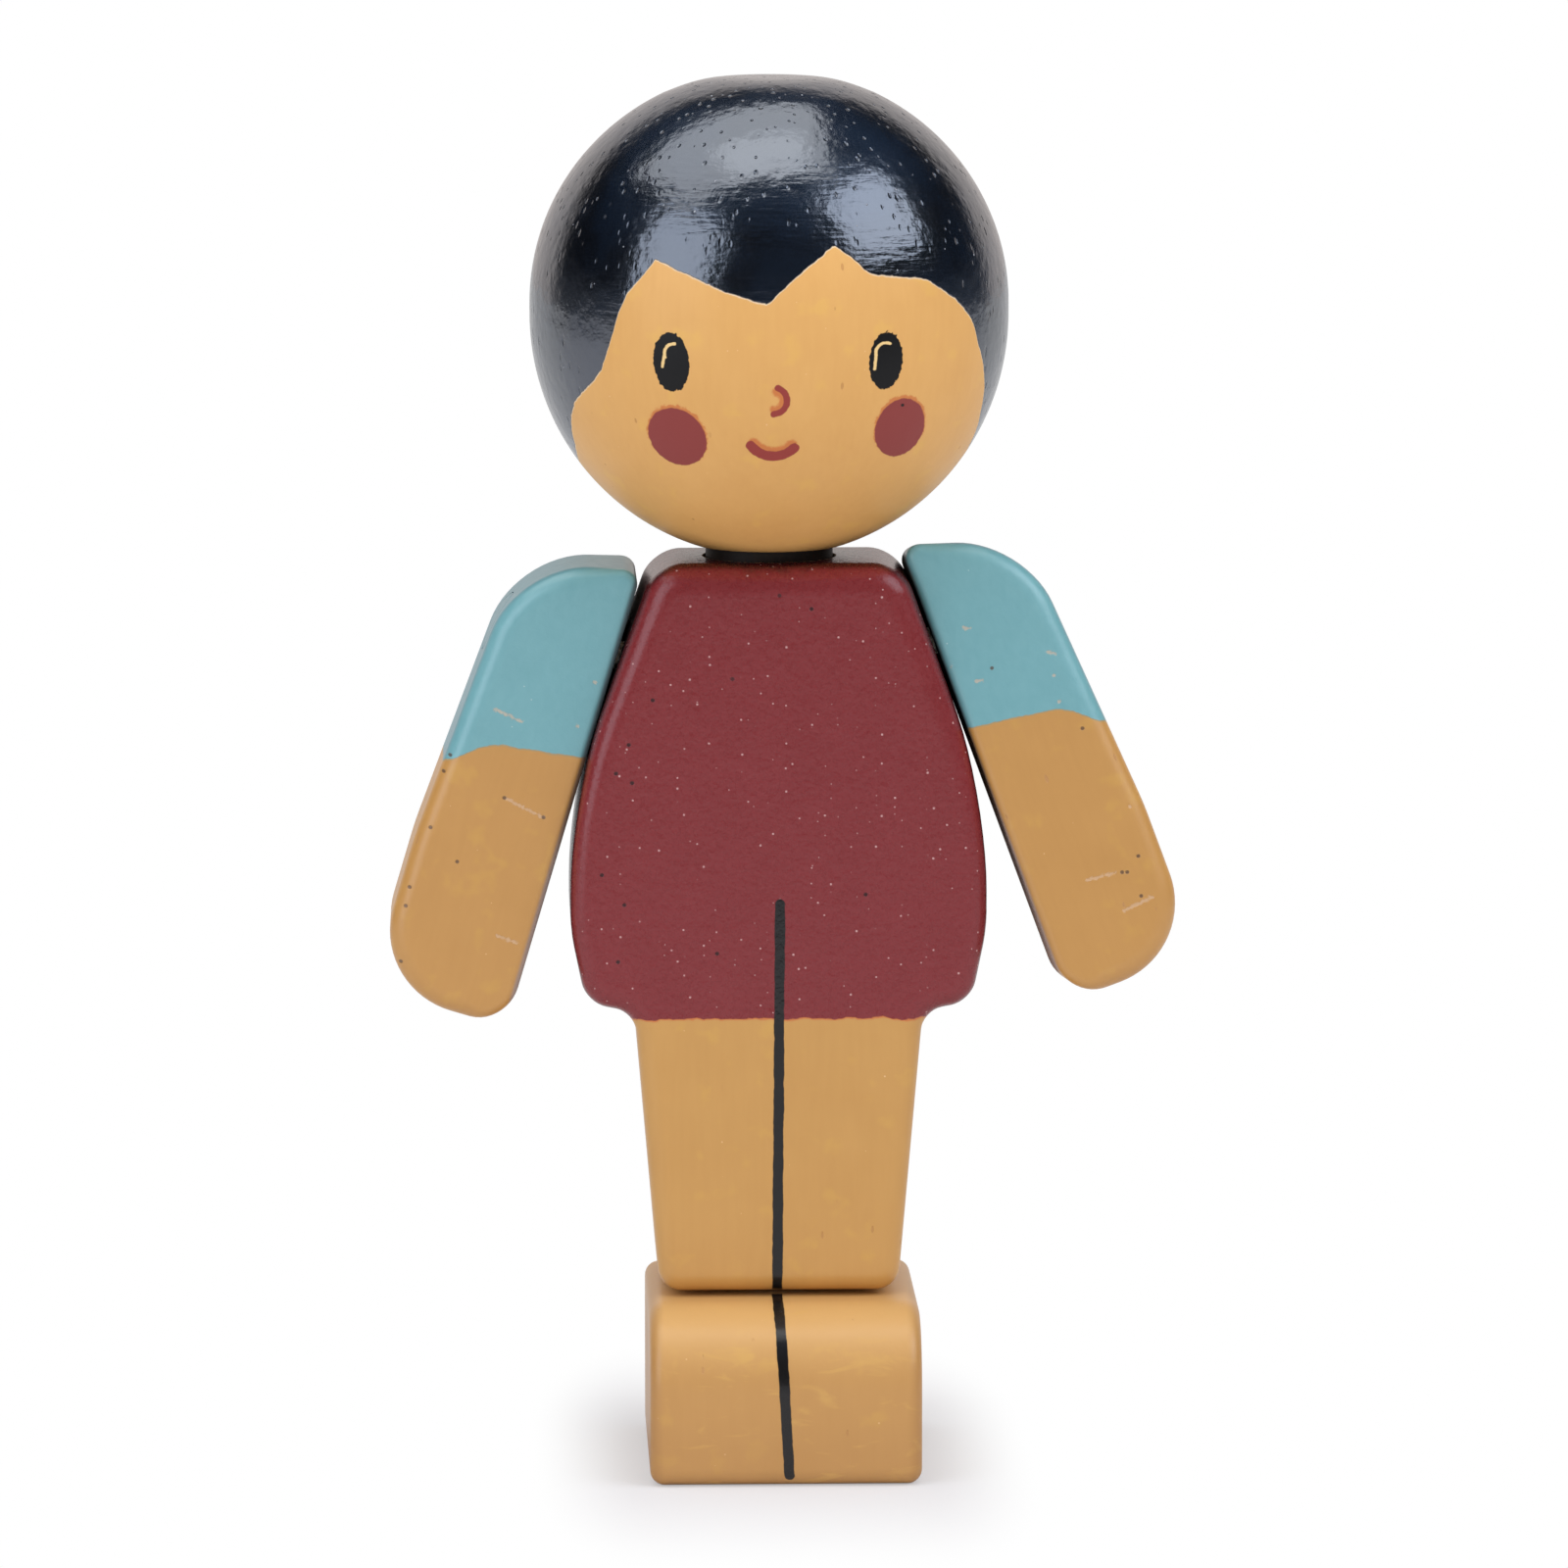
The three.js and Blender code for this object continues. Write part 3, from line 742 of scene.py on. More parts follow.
@dataclass(frozen=True)
class ArmPaint(Finish):
    """An arm: a teal sleeve to below the shoulder and bare-coloured forearm and hand.

    Places are in the arm's own frame: across from its inner face outwards, up along it, 0 at the pivot.
    """

    arm: Arm
    cord_bore: float = 1.28
    knot_bore: float = 2.0
    knot_seat: float = 2.4

    def sleeve(self, place: Signal, depth: Signal) -> Surface:
        """The teal paint, with painted shade making it darker on the rounded edges.

        Args:
            place: a place in the arm's own frame.
            depth: how far behind the arm's middle it is.

        Returns:
            What the shader is given.
        """
        mottle = place.stretched(1.0, 1.0, 0.6).noise(2.0, 3.0, 0.5)
        share = mottle * 0.6 + place.noise(0.4, 3.0) * 0.4
        shade = mix(colour(102, 155, 161), colour(118, 170, 175), share)
        half = self.arm.thickness / 2
        # Painted shade: a darker teal on the rounded edges.
        shade = mix(colour(76, 132, 142), shade, abs(depth).rising(half - 1.1, half - 0.5))
        grit = place.specks(0.7, 0.12, 0.1)
        shade = mix(shade, colour(196, 214, 212), grit * 0.45)
        height = place.noise(1.7, 3.0, 0.3) * 0.02 + place.noise(6.0) * 0.006 + grit * 0.01
        return Surface(shade, 0.33 + (mottle - 0.5) * 0.12, height)

    def paint(self, place: Signal) -> Surface:
        """Paints sleeve, skin and marks, paints shade on the inner face, and leaves the bores bare.

        Args:
            place: where a point is on the piece, in millimetres.

        Returns:
            What the shader is given.
        """
        arm, graph = self.arm, place.graph
        frame = {
            "Vector": graph.node("TexCoord")["Object"],
            "Location": arm.pivot,
            "Rotation": tuple(arm.turn().to_euler("XYZ")),
            "Scale": (MM, MM, MM),
        }
        local = graph.node("Mapping", frame, vector_type="TEXTURE")["Vector"]
        across, depth, up = local.parts()
        wobble = local.noise(1.0, 3.0) - 0.5
        round_outside = across.rising(5.6, 8.8) * 1.6
        over = up + arm.sleeve_end + across * arm.sleeve_slope + round_outside + wobble * 0.45
        is_sleeve = over.rising(-0.03, 0.03)
        skin = skin_paint(local, ARM_SKIN)
        sleeve = self.sleeve(local, depth)
        shade = mix(skin.shade, colour(150, 140, 104), over.rising(-0.16, -0.04) * 0.6)
        shade = mix(shade, sleeve.shade, is_sleeve)
        front = (depth * -arm.side).rising(2.5, 3.0)
        ragged = (local.noise(4.0, 3.0) - 0.5) * 0.5
        tan = (nearest(arm.tan_marks, across, up) + ragged).falling(0.03, 0.14) * front
        dark = nearest(arm.dark_marks, across, up).falling(0.08, 0.14) * front
        shade = mix(shade, colour(206, 172, 140), tan * 0.55)
        shade = mix(shade, colour(86, 62, 44), dark * 0.8)
        bare = self.bores(across, depth, up)
        shade = mix(shade, bare_wood(local), bare)
        gloss = skin.roughness.towards(sleeve.roughness, is_sleeve)
        height = skin.height.towards(sleeve.height, is_sleeve) - tan * 0.02 - dark * 0.03
        # Painted shade and reflection: the inner face, in the gap against the torso, is a matt grey,
        # darker towards the shoulder.
        gap_shading = mix(colour(92, 88, 92), colour(158, 152, 156), up.falling(-14.0, -9.0))
        shaded_inner_face = Surface(mix(shade, gap_shading, 0.7), 0.8, height, 0.0)
        inside = across.falling(0.02, 0.3)
        matt = gloss + bare * 0.3
        return Surface(shade, matt, height + is_sleeve * 0.01, 0.7, over=shaded_inner_face, share=inside)

    def bores(self, across: Signal, depth: Signal, up: Signal) -> Signal:
        """A mask of the walls of the cord's bore and the knot's seat.

        Args:
            across: how far outwards from the arm's inner face a place is.
            depth: how far back it is.
            up: how high it is above the pivot.

        Returns:
            The mask.
        """
        reach = depth.length_with(up)
        inside = 1.0 - across.rising(6.0, 6.1)
        cord = reach.within(self.cord_bore) * inside
        knot = reach.up_to(self.knot_bore, 0.02)
        return cord.larger(knot * across.rising(self.knot_seat - 0.05, self.knot_seat) * inside)


@dataclass(frozen=True)
class FootPaint(Finish):
    """The foot block: the skin paint, with the line between the feet drawn down its front."""

    top: float = 10.9
    middle: float = 0.27
    line_top: float = -0.12
    line_lean: float = 0.055
    line_half: float = 0.33
    line_end: float = 0.42

    def paint(self, place: Signal) -> Surface:
        """Paints the skin, lighter on top as painted light and darker low down as painted shade, and the
        line.

        Args:
            place: where a point is on the piece, in millimetres.

        Returns:
            What the shader is given.
        """
        across, depth, up = place.parts()
        skin = skin_paint(place, FOOT_SKIN)
        smear = place.moved(5.0, 9.0, 2.0).stretched(0.5, 1.0, 1.6).noise(0.5, 3.0, 1.2)
        # Painted light and shade: lighter towards the top, darker low down.
        shade = mix(skin.shade, colour(210, 164, 102), up.rising(6.5, 10.5) * 0.8)
        shade = mix(shade, colour(180, 132, 76), up.falling(1.5, 6.0) * 0.4)
        shade = mix(shade, colour(208, 162, 88), smear.rising(0.56, 0.72) * 0.5)
        shade = mix(shade, colour(162, 114, 62), abs(across - self.middle).rising(7.5, 8.4) * 0.5)
        off = abs(across - self.line_top - (self.top - up) * self.line_lean)
        below = (self.line_end + self.line_half - up).larger(0.0)
        reach = off.length_with(below) + (place.noise(1.1, 3.0) - 0.5) * 0.16
        line = reach.up_to(self.line_half) * depth.falling(-5.0, -4.5)
        return Surface(mix(shade, LINE_BLACK, line), skin.roughness - line * 0.12, skin.height)


@dataclass(frozen=True)
class NeckWood(Finish):
    """The neck dowel: a dark brown painted shadow on the stretch that shows, over bare wood below and
    above.
    """

    low: float = 56.9
    high: float = 58.3

    def paint(self, place: Signal) -> Surface:
        """Paints the shadow on the short stretch that shows.

        Args:
            place: where a point is on the piece, in millimetres.

        Returns:
            What the shader is given.
        """
        up = place.parts()[2] + (place.noise(1.2) - 0.5) * 0.5
        # Painted shadow: the stretch between head and torso is a near-black brown.
        shadowed = up.rising(self.low - 0.1, self.low) * up.falling(self.high, self.high + 0.1)
        grain = place.stretched(1.0, 1.0, 0.12).noise(2.2, 3.0)
        shadow_brown = mix(colour(16, 11, 8), colour(38, 26, 17), grain)
        return Surface(mix(bare_wood(place), shadow_brown, shadowed), 0.62 - shadowed * 0.1, grain * 0.01, 0.2)


@dataclass(frozen=True)
class BareWood(Finish):
    """Unpainted birch dowel with fine pores along its length."""

    def paint(self, place: Signal) -> Surface:
        """Shows rings and pores.

        Args:
            place: where a point is on the piece, in millimetres.

        Returns:
            What the shader is given.
        """
        pores = place.dashes(0.5, 2.4, 0.4)
        shade = mix(bare_wood(place), colour(150, 110, 70), pores * 0.6)
        return Surface(shade, 0.66 + pores * 0.1, place.noise(3.0) * 0.008 - pores * 0.02)


@dataclass(frozen=True)
class ElasticCover(Finish):
    """The elastic's braided white cover: two sets of threads that wind round the cord along X."""

    threads: float = 8.0
    pitch: float = 3.2

    def paint(self, place: Signal) -> Surface:
        """Crosses two sets of slanting threads.

        Args:
            place: where a point is on the piece, in millimetres.

        Returns:
            What the shader is given.
        """
        along, depth, up = place.parts()
        around = (up - CORD_Z).angle_from(depth) * (math.pi / 180)
        wound = along * (2 * math.pi * self.threads / 2 / self.pitch)
        one = place.through("SINE", around * self.threads + wound)
        other = place.through("SINE", around * self.threads - wound)
        thread = one.larger(other) * 0.5 + 0.5
        shade = mix(colour(176, 168, 154), colour(236, 231, 220), thread)
        return Surface(shade, 0.85, thread * 0.05 + place.noise(9.0) * 0.02, 0.2)


@dataclass(frozen=True)
class Corner:
    """A corner of a sawn outline: its place and its radius."""

    x: float
    z: float
    radius: float


class Tool(Enum):
    """How a cutter or a blank works on a piece."""

    CUT = "DIFFERENCE"
    TRIM = "INTERSECT"


def clamped(value: float) -> float:
    """The value, held between 0 and 1."""
    return min(max(value, 0.0), 1.0)


def linked(name: str, data: bpy.types.ID) -> Object:
    """A new object in the scene around its data."""
    made = bpy.data.objects.new(name, data)
    bpy.context.scene.collection.objects.link(made)
    return made


def evaluated_mesh(piece: Object) -> bpy.types.Mesh:
    """A plain mesh of an object with its modifiers or its bevel applied."""
    return bpy.data.meshes.new_from_object(piece.evaluated_get(bpy.context.evaluated_depsgraph_get()))


@contextmanager
def reworked(piece: Object) -> Iterator[BMesh]:
    """A bmesh of the piece's mesh, in metres, that is written back to it at the end."""
    work = bmesh.new()
    work.from_mesh(piece.data)
    yield work
    work.to_mesh(piece.data)
    work.free()


def shift(work: BMesh, x: float = 0.0, y: float = 0.0, z: float = 0.0) -> None:
    """Moves everything in a bmesh."""
    bmesh.ops.translate(work, vec=(x, y, z), verts=work.verts[:])


def rotate(work: BMesh, degrees: float, axis: str) -> None:
    """Turns everything in a bmesh about an axis through the origin."""
    matrix = Matrix.Rotation(math.radians(degrees), 3, axis)
    bmesh.ops.rotate(work, cent=(0, 0, 0), matrix=matrix, verts=work.verts[:])


def bevel(work: BMesh, parts: Sequence, offset: float, segments: int = 4, kind: str = "EDGES") -> None:
    """Rounds the edges, or the corners of an outline."""
    bmesh.ops.bevel(
        work, geom=parts, offset=offset, segments=segments, profile=0.5, affect=kind, material=-1
    )


class Workshop:
    """The ways of making meshes that the pieces share."""

    arc_error = 0.006
    rim_segments = 8
    rim_band = 0.2
    face_band = 0.18
    hair = 0.002
    crease = 32.0
    rod_sides = 64

    def object_from(self, work: BMesh, name: str) -> Object:
        """Makes an object in the scene from a bmesh in millimetres, and frees the bmesh.

        Args:
            work: the bmesh.
            name: the object's name and its mesh's.

        Returns:
            The object.
        """
        bmesh.ops.recalc_face_normals(work, faces=work.faces[:])
        bmesh.ops.scale(work, vec=(MM, MM, MM), verts=work.verts[:])
        mesh = bpy.data.meshes.new(name)
        work.to_mesh(mesh)
        work.free()
        return linked(name, mesh)

    def machine(self, piece: Object, tool: Object, how: Tool) -> None:
        """Cuts a piece with a tool, or trims it to one, and clears the tool away.

        Args:
            piece: the piece.
            tool: the solid that it meets.
            how: whether the tool is taken out or kept in.
        """
        boolean = piece.modifiers.new("machine", "BOOLEAN")
        boolean.operation = how.value
        boolean.solver = "EXACT"
        boolean.object = tool
        rough, piece.data = piece.data, evaluated_mesh(piece)
        piece.modifiers.clear()
        bpy.data.meshes.remove(rough)
        piece.data.name = piece.name
        bpy.data.objects.remove(tool)
        with reworked(piece) as work:
            bmesh.ops.remove_doubles(work, verts=work.verts[:], dist=self.hair / 2 * MM)

    def drill(self, piece: Object, hole: BMesh) -> None:
        """Takes a rod's shape out of a piece."""
        self.machine(piece, self.object_from(hole, "drill"), Tool.CUT)

    def rod(self, radius: float, low: float, high: float, end: float = 0.0, x: float = 0.0) -> BMesh:
        """An upright rod.

        Args:
            radius: the rod's radius.
            low: the height of its lower end.
            high: the height of its upper end.
            end: how much its ends are rounded.
            x: where its axis stands.

        Returns:
            The rod.
        """
        work = bmesh.new()
        bmesh.ops.create_cone(
            work, cap_ends=True, segments=self.rod_sides, radius1=radius, radius2=radius, depth=high - low
        )
        shift(work, z=(low + high) / 2)
        if end:
            rims = [edge for edge in work.edges if any(len(face.verts) > 4 for face in edge.link_faces)]
            bevel(work, rims, end)
        shift(work, x)
        return work

    def level_rod(self, radius: float, start: float, end: float, z: float = 0.0) -> BMesh:
        """A rod along x, at the height z.

        Args:
            radius: the rod's radius.
            start: the x of its right end.
            end: the x of its left end.
            z: the height of its axis.

        Returns:
            The rod.
        """
        work = self.rod(radius, start, end)
        rotate(work, 90, "Y")
        shift(work, z=z)
        return work

    def sawn_board(self, corners: Sequence[Corner], half: float) -> BMesh:
        """A square-edged board sawn to an outline in XZ, from y = -half to y = half.

        Args:
            corners: the outline's corners in order, each with the radius it is rounded to.
            half: half of its thickness.

        Returns:
            The board.
        """
        work = bmesh.new()
        spots = [work.verts.new((corner.x, -half, corner.z)) for corner in corners]
        work.faces.new(spots)
        places = [spot.co.copy() for spot in spots]
        for index, (spot, corner) in enumerate(zip(spots, corners)):
            before = places[index - 1] - places[index]
            after = places[(index + 1) % len(places)] - places[index]
            turn = math.pi - before.angle(after)
            step = 2 * math.acos(1 - self.arc_error / corner.radius)
            segments = max(2, math.ceil(turn / step))
            bevel(work, [spot], corner.radius * math.tan(turn / 2), segments, "VERTICES")
        grown = bmesh.ops.extrude_face_region(work, geom=work.faces[:])
        far = [item for item in grown["geom"] if isinstance(item, BMVert)]
        bmesh.ops.translate(work, vec=(0, 2 * half, 0), verts=far)
        bmesh.ops.recalc_face_normals(work, faces=work.faces[:])
        return work

    def rounded_board(
        self,
        name: str,
        corners: Sequence[Corner],
        thickness: float,
        roundover: float,
        share: Callable[[Vector], float] = lambda spot: 1.0,
    ) -> Object:
        """A board with a rounded-over rim and a flat face on both sides, centred on y = 0.

        Each corner's radius has to leave room for the roundover and the face's band inside it.

        Args:
            name: the piece's name.
            corners: the outline's corners in order, each with the radius it is rounded to.
            thickness: its finished thickness along y.
            roundover: the radius on its rims.
            share: how much of that radius the rim gets at a point of the outline.

        Returns:
            The board as an object.
        """
        work = self.sawn_board(corners, thickness / 2 - roundover - self.rim_band)
        angles = [math.pi / 2 * k / self.rim_segments for k in range(1, self.rim_segments + 1)]
        curve = [(roundover * (1 - math.cos(a)), roundover * (1 - math.sin(a))) for a in angles]
        for side in (-1, 1):
            face = max(work.faces, key=lambda item: side * item.calc_center_median().y)
            spots = [Vector((vert.co.x, side * thickness / 2, vert.co.z)) for vert in face.verts]
            inwards = self.inward_directions(spots, face.normal)
            for inset, depth in [(0.0, roundover), *curve]:
                bmesh.ops.inset_region(
                    work, faces=[face], thickness=self.hair, depth=self.hair, use_even_offset=False
                )
                for vert, spot, inward in zip(face.verts, spots, inwards):
                    size = share(spot)
                    vert.co = spot + inward * (inset * size) - Vector((0, side * depth * size, 0))
            bmesh.ops.inset_region(work, faces=[face], thickness=self.face_band, use_even_offset=True)
        return self.object_from(work, name)

    def inward_directions(self, spots: Sequence[Vector], normal: Vector) -> list[Vector]:
        """Where each point of a flat outline goes for every millimetre that its edges move inwards.

        Args:
            spots: the outline's points in order.
            normal: the way its face looks.

        Returns:
            A step for each point.
        """
        directions = []
        for index, spot in enumerate(spots):
            before = normal.cross(spot - spots[index - 1]).normalized()
            after = normal.cross(spots[(index + 1) % len(spots)] - spot).normalized()
            directions.append((before + after) / (1 + before.dot(after)))
        return directions

    def hand_over(self, piece: Object, finish: Finish, node: str, body: str) -> None:
        """Dresses a finished piece and ties it to the frame.

        Args:
            piece: the finished piece.
            finish: how it is painted.
            node: the CAD node that it stands for.
            body: the body that it moves with.
        """
        piece.data.shade_smooth()
        piece.data.set_sharp_from_angle(angle=math.radians(self.crease))
        piece.data.materials.clear()
        piece.data.materials.append(finish.material())
        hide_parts(node)
        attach(piece, body)
        LOG.info("%s: %d faces, finish %s", piece.name, len(piece.data.polygons), finish.name)


@dataclass
class Head:
    """The turned ball with its crown flat, its neck flat and the dowel's bore."""

    radius: float = 15.0
    upper_curve: float = 14.55
    lower_curve: float = 15.25
    band: float = 0.75
    crown_radius: float = 3.7
    bore_radius: float = 4.1
    neck_rim: float = 0.35
    bore_depth: float = 12.3
    crown_rings: int = 8
    crown_passes: int = 30
    sanded_depth: float = 1.3
    sanded_ring: Pair = (0.9, 6.6)
    neck_softening: float = 0.12
    centre: Triple = (NECK_X, 0.0, 72.812)
    rings: int = 44
    sides: int = 128
    near: float = 1e-4

    def build(self, shop: Workshop) -> None:
        """Turns the ball about its axis.

        Args:
            shop: makes the meshes.
        """
        work = bmesh.new()
        crown = self.quarter(work, 1, self.upper_curve, self.crown_radius)
        neck = self.quarter(work, -1, self.lower_curve, self.bore_radius + self.neck_rim)
        work.edges.new([vert for vert in work.verts if abs(vert.co.x - self.radius) < self.near / 100])
        top, low = crown.co.z, neck.co.z
        for ring in range(self.crown_rings - 1, -1, -1):
            crown = self.extend(work, crown, self.crown_radius * ring / self.crown_rings, top)
        for x, z in ((self.bore_radius, 0.0), (self.bore_radius, self.bore_depth), (0.0, self.bore_depth)):
            neck = self.extend(work, neck, x, low + z)
        bmesh.ops.spin(
            work,
            geom=work.verts[:] + work.edges[:],
            cent=(0, 0, 0),
            axis=(0, 0, 1),
            angle=2 * math.pi,
            steps=self.sides,
            use_merge=True,
        )
        bmesh.ops.remove_doubles(work, verts=work.verts[:], dist=self.near / 10)
        bmesh.ops.recalc_face_normals(work, faces=work.faces[:])
        self.soften_crown(work, top)
        self.soften_neck(work, low)
        shift(work, *self.centre)
        head = shop.object_from(work, "painted_head")
        shop.hand_over(head, HeadPaint("head_paint"), "head", "head")

    def quarter(self, work: BMesh, side: int, curve: float, flat: float) -> BMVert:
        """Draws one half of the ball's side, from the band to a flat of radius flat.

        Args:
            work: where it is drawn.
            side: 1 upwards and -1 downwards.
            curve: how high that half is.
            flat: the radius where it ends.

        Returns:
            Its last point.
        """
        start = work.verts.new((self.radius, 0.0, side * self.band / 2))
        known = set(work.verts)
        spun = bmesh.ops.spin(
            work,
            geom=[start],
            cent=(0, 0, side * self.band / 2),
            axis=(0, -side, 0),
            angle=math.acos(flat / self.radius),
            steps=self.rings,
        )
        drawn = [vert for vert in work.verts if vert not in known]
        stretch = Matrix.Diagonal((1, 1, curve / self.radius))
        middle = Matrix.Translation((0, 0, -side * self.band / 2))
        bmesh.ops.transform(work, matrix=stretch.to_4x4(), space=middle, verts=drawn)
        return next(item for item in spun["geom_last"] if isinstance(item, BMVert))

    def extend(self, work: BMesh, last: BMVert, x: float, z: float) -> BMVert:
        """Carries the outline on to another point and returns it.

        Args:
            work: where it is drawn.
            last: the outline's last point.
            x: the new point's distance from the axis.
            z: its height.

        Returns:
            The new point.
        """
        vert = bmesh.ops.extrude_vert_indiv(work, verts=[last])["verts"][0]
        vert.co = (x, 0.0, z)
        return vert

    def soften_crown(self, work: BMesh, height: float) -> None:
        """Sands the edge of the crown's flat, so that it runs smoothly into the ball.

        Args:
            work: the ball.
            height: how high the flat is above its centre.
        """
        inner, outer = self.sanded_ring
        high = [vert for vert in work.verts if vert.co.z > height - self.sanded_depth]
        near = [vert for vert in high if inner < vert.co.xy.length < outer]
        for _ in range(self.crown_passes):
            bmesh.ops.smooth_vert(work, verts=near, factor=0.5, use_axis_z=True)

    def soften_neck(self, work: BMesh, height: float) -> None:
        """Breaks the sharp edges round the flat at the neck.

        Args:
            work: the ball.
            height: how high the flat is above its centre, below 0.
        """
        rims = []
        for edge in work.edges:
            one, other = (vert.co.xy.length for vert in edge.verts)
            level = all(abs(vert.co.z - height) < self.near for vert in edge.verts)
            if level and min(one, other) > 1 and abs(one - other) < self.near:
                rims.append(edge)
        bevel(work, rims, self.neck_softening)


@dataclass
class Body:
    """The board that is torso and legs at once, with its bores, and the dowels glued into it."""

    thickness: float = 12.0
    roundover: float = 1.2
    shoulder_roundover: float = 1.7
    ankle_height: float = 11.2
    hip_height: float = 28.95
    hem_step: float = 0.6
    belly_low: float = 5.2
    belly_high: float = 13.3
    shoulder_height: float = 57.2
    ankle_width: float = 15.0
    leg_top_width: float = 18.1
    hem_width: float = 24.2
    belly_width: float = 26.1
    shoulder_width: float = 15.5
    left_flank: Triple = (10.88, 48.6, 60.0)
    rim_growth: float = 13.0
    cord_bore: float = 1.6
    countersink: float = 1.0
    neck_bore: float = 4.2
    neck_depth: float = 12.0
    neck_radius: float = 4.0
    neck_top: float = 70.05
    ankle_bore: float = 2.2
    ankle_bore_depth: float = 8.2
    ankle_dowel_radius: float = 2.0
    ankle_dowel: Pair = (3.9, 19.2)
    dowel_end: float = 0.3
    dowel_play: float = 0.2

    def corners(self) -> list[Corner]:
        """The outline, up the figure's left side, whose flank is a little fuller, and down its right."""
        half = [
            Corner(self.ankle_width / 2, self.ankle_height, 1.55),
            Corner(self.leg_top_width / 2, self.hip_height, 1.6),
            Corner(self.hem_width / 2, self.hip_height + self.hem_step, 1.95),
            Corner(self.belly_width / 2, self.hip_height + self.belly_low, 10.0),
            Corner(self.belly_width / 2, self.hip_height + self.belly_high, 34.0),
            Corner(self.shoulder_width / 2, self.shoulder_height, 2.6),
        ]
        left = [*half[:-1], Corner(*self.left_flank), half[-1]]
        return left + [Corner(-corner.x, corner.z, corner.radius) for corner in reversed(half)]

    def rim_share(self, spot: Vector) -> float:
        """The rims grow wider from the belly to the shoulders.

        Args:
            spot: a point of the outline.

        Returns:
            The share of the full roundover.
        """
        rise = clamped((spot.z - self.hip_height - self.belly_high) / self.rim_growth)
        least = self.roundover / self.shoulder_roundover
        return least + (1 - least) * rise

    def build(self, shop: Workshop) -> None:
        """Makes the board and its dowels.

        Args:
            shop: makes the meshes.
        """
        size = (self.thickness, self.shoulder_roundover)
        body = shop.rounded_board("painted_torso_and_legs", self.corners(), *size, self.rim_share)
        self.drill(body, shop)
        shop.hand_over(body, BodyPaint("body_paint"), "torso_and_legs", "torso")
        self.build_neck(shop)
        for name, side in (("right", -1), ("left", 1)):
            work = shop.rod(self.ankle_dowel_radius, *self.ankle_dowel, self.dowel_end, side * ANKLE_X)
            dowel = shop.object_from(work, f"{name}_birch_dowel")
            wood = BareWood(f"{name}_bare_wood")
            shop.hand_over(dowel, wood, f"{name}_ankle_dowel", "torso")

    def drill(self, body: Object, shop: Workshop) -> None:
        """Drills the neck's hole, the ankles' holes and the cord's countersunk bore.

        Args:
            body: the board.
            shop: makes the meshes.
        """
        top, low = self.shoulder_height, self.ankle_height
        shop.drill(body, shop.rod(self.neck_bore, top - self.neck_depth, top + 1, x=NECK_X))
        for x in (-ANKLE_X, ANKLE_X):
            shop.drill(body, shop.rod(self.ankle_bore, low - 1, low + self.ankle_bore_depth, x=x))
        share = (top - CORD_Z) / (top - self.hip_height - self.belly_high)
        mouth = (self.shoulder_width + (self.belly_width - self.shoulder_width) * share) / 2
        shop.drill(body, shop.level_rod(self.cord_bore, -self.belly_width, self.belly_width, CORD_Z))
        for side in (-1, 1):
            sink = shop.rod(self.cord_bore + self.countersink, mouth, mouth + 3)
            sink.normal_update()
            tip = [face for face in sink.faces if face.normal.z < -0.99]
            reach = self.countersink + 0.3
            bmesh.ops.inset_region(sink, faces=tip, thickness=reach, depth=reach, use_even_offset=True)
            rotate(sink, 90, "Y")
            if side < 0:
                rotate(sink, 180, "Z")
            shift(sink, z=CORD_Z)
            shop.drill(body, sink)

    def build_neck(self, shop: Workshop) -> None:
        """Makes the neck dowel with the cross hole for the cord.

        Args:
            shop: makes the meshes.
        """
        low = self.shoulder_height - self.neck_depth + self.dowel_play
        work = shop.rod(self.neck_radius, low, self.neck_top, self.dowel_end, NECK_X)
        neck = shop.object_from(work, "turned_neck_dowel")
        reach = 2 * self.neck_radius
        shop.drill(neck, shop.level_rod(self.cord_bore, -reach, reach, CORD_Z))
        shop.hand_over(neck, NeckWood("neck_wood"), "neck_dowel", "torso")


@dataclass
class Feet:
    """The block for both feet, with its rounded instep and the dowels' holes."""

    width: float = 17.0
    height: float = 10.9
    toe: float = -12.0
    heel: float = 7.8
    instep_radius: float = 5.0
    corner_radius: float = 1.15
    roundover: float = 0.9
    offset: float = 0.27
    hole_radius: float = 2.2
    hole_bottom: float = 3.7

    def build(self, shop: Workshop) -> None:
        """Saws the block from the side, rounds it and drills it.

        Args:
            shop: makes the meshes.
        """
        corners = [
            Corner(self.toe, 0.0, self.corner_radius),
            Corner(self.heel, 0.0, self.corner_radius),
            Corner(self.heel, self.height, self.corner_radius),
            Corner(self.toe, self.height, self.instep_radius),
        ]
        board = shop.rounded_board("painted_feet", corners, self.width, self.roundover)
        with reworked(board) as work:
            rotate(work, 90, "Z")
            shift(work, self.offset * MM)
        for x in (-ANKLE_X, ANKLE_X):
            shop.drill(board, shop.rod(self.hole_radius, self.hole_bottom, self.height + 1, x=x))
        shop.hand_over(board, FootPaint("foot_paint"), "feet", "torso")


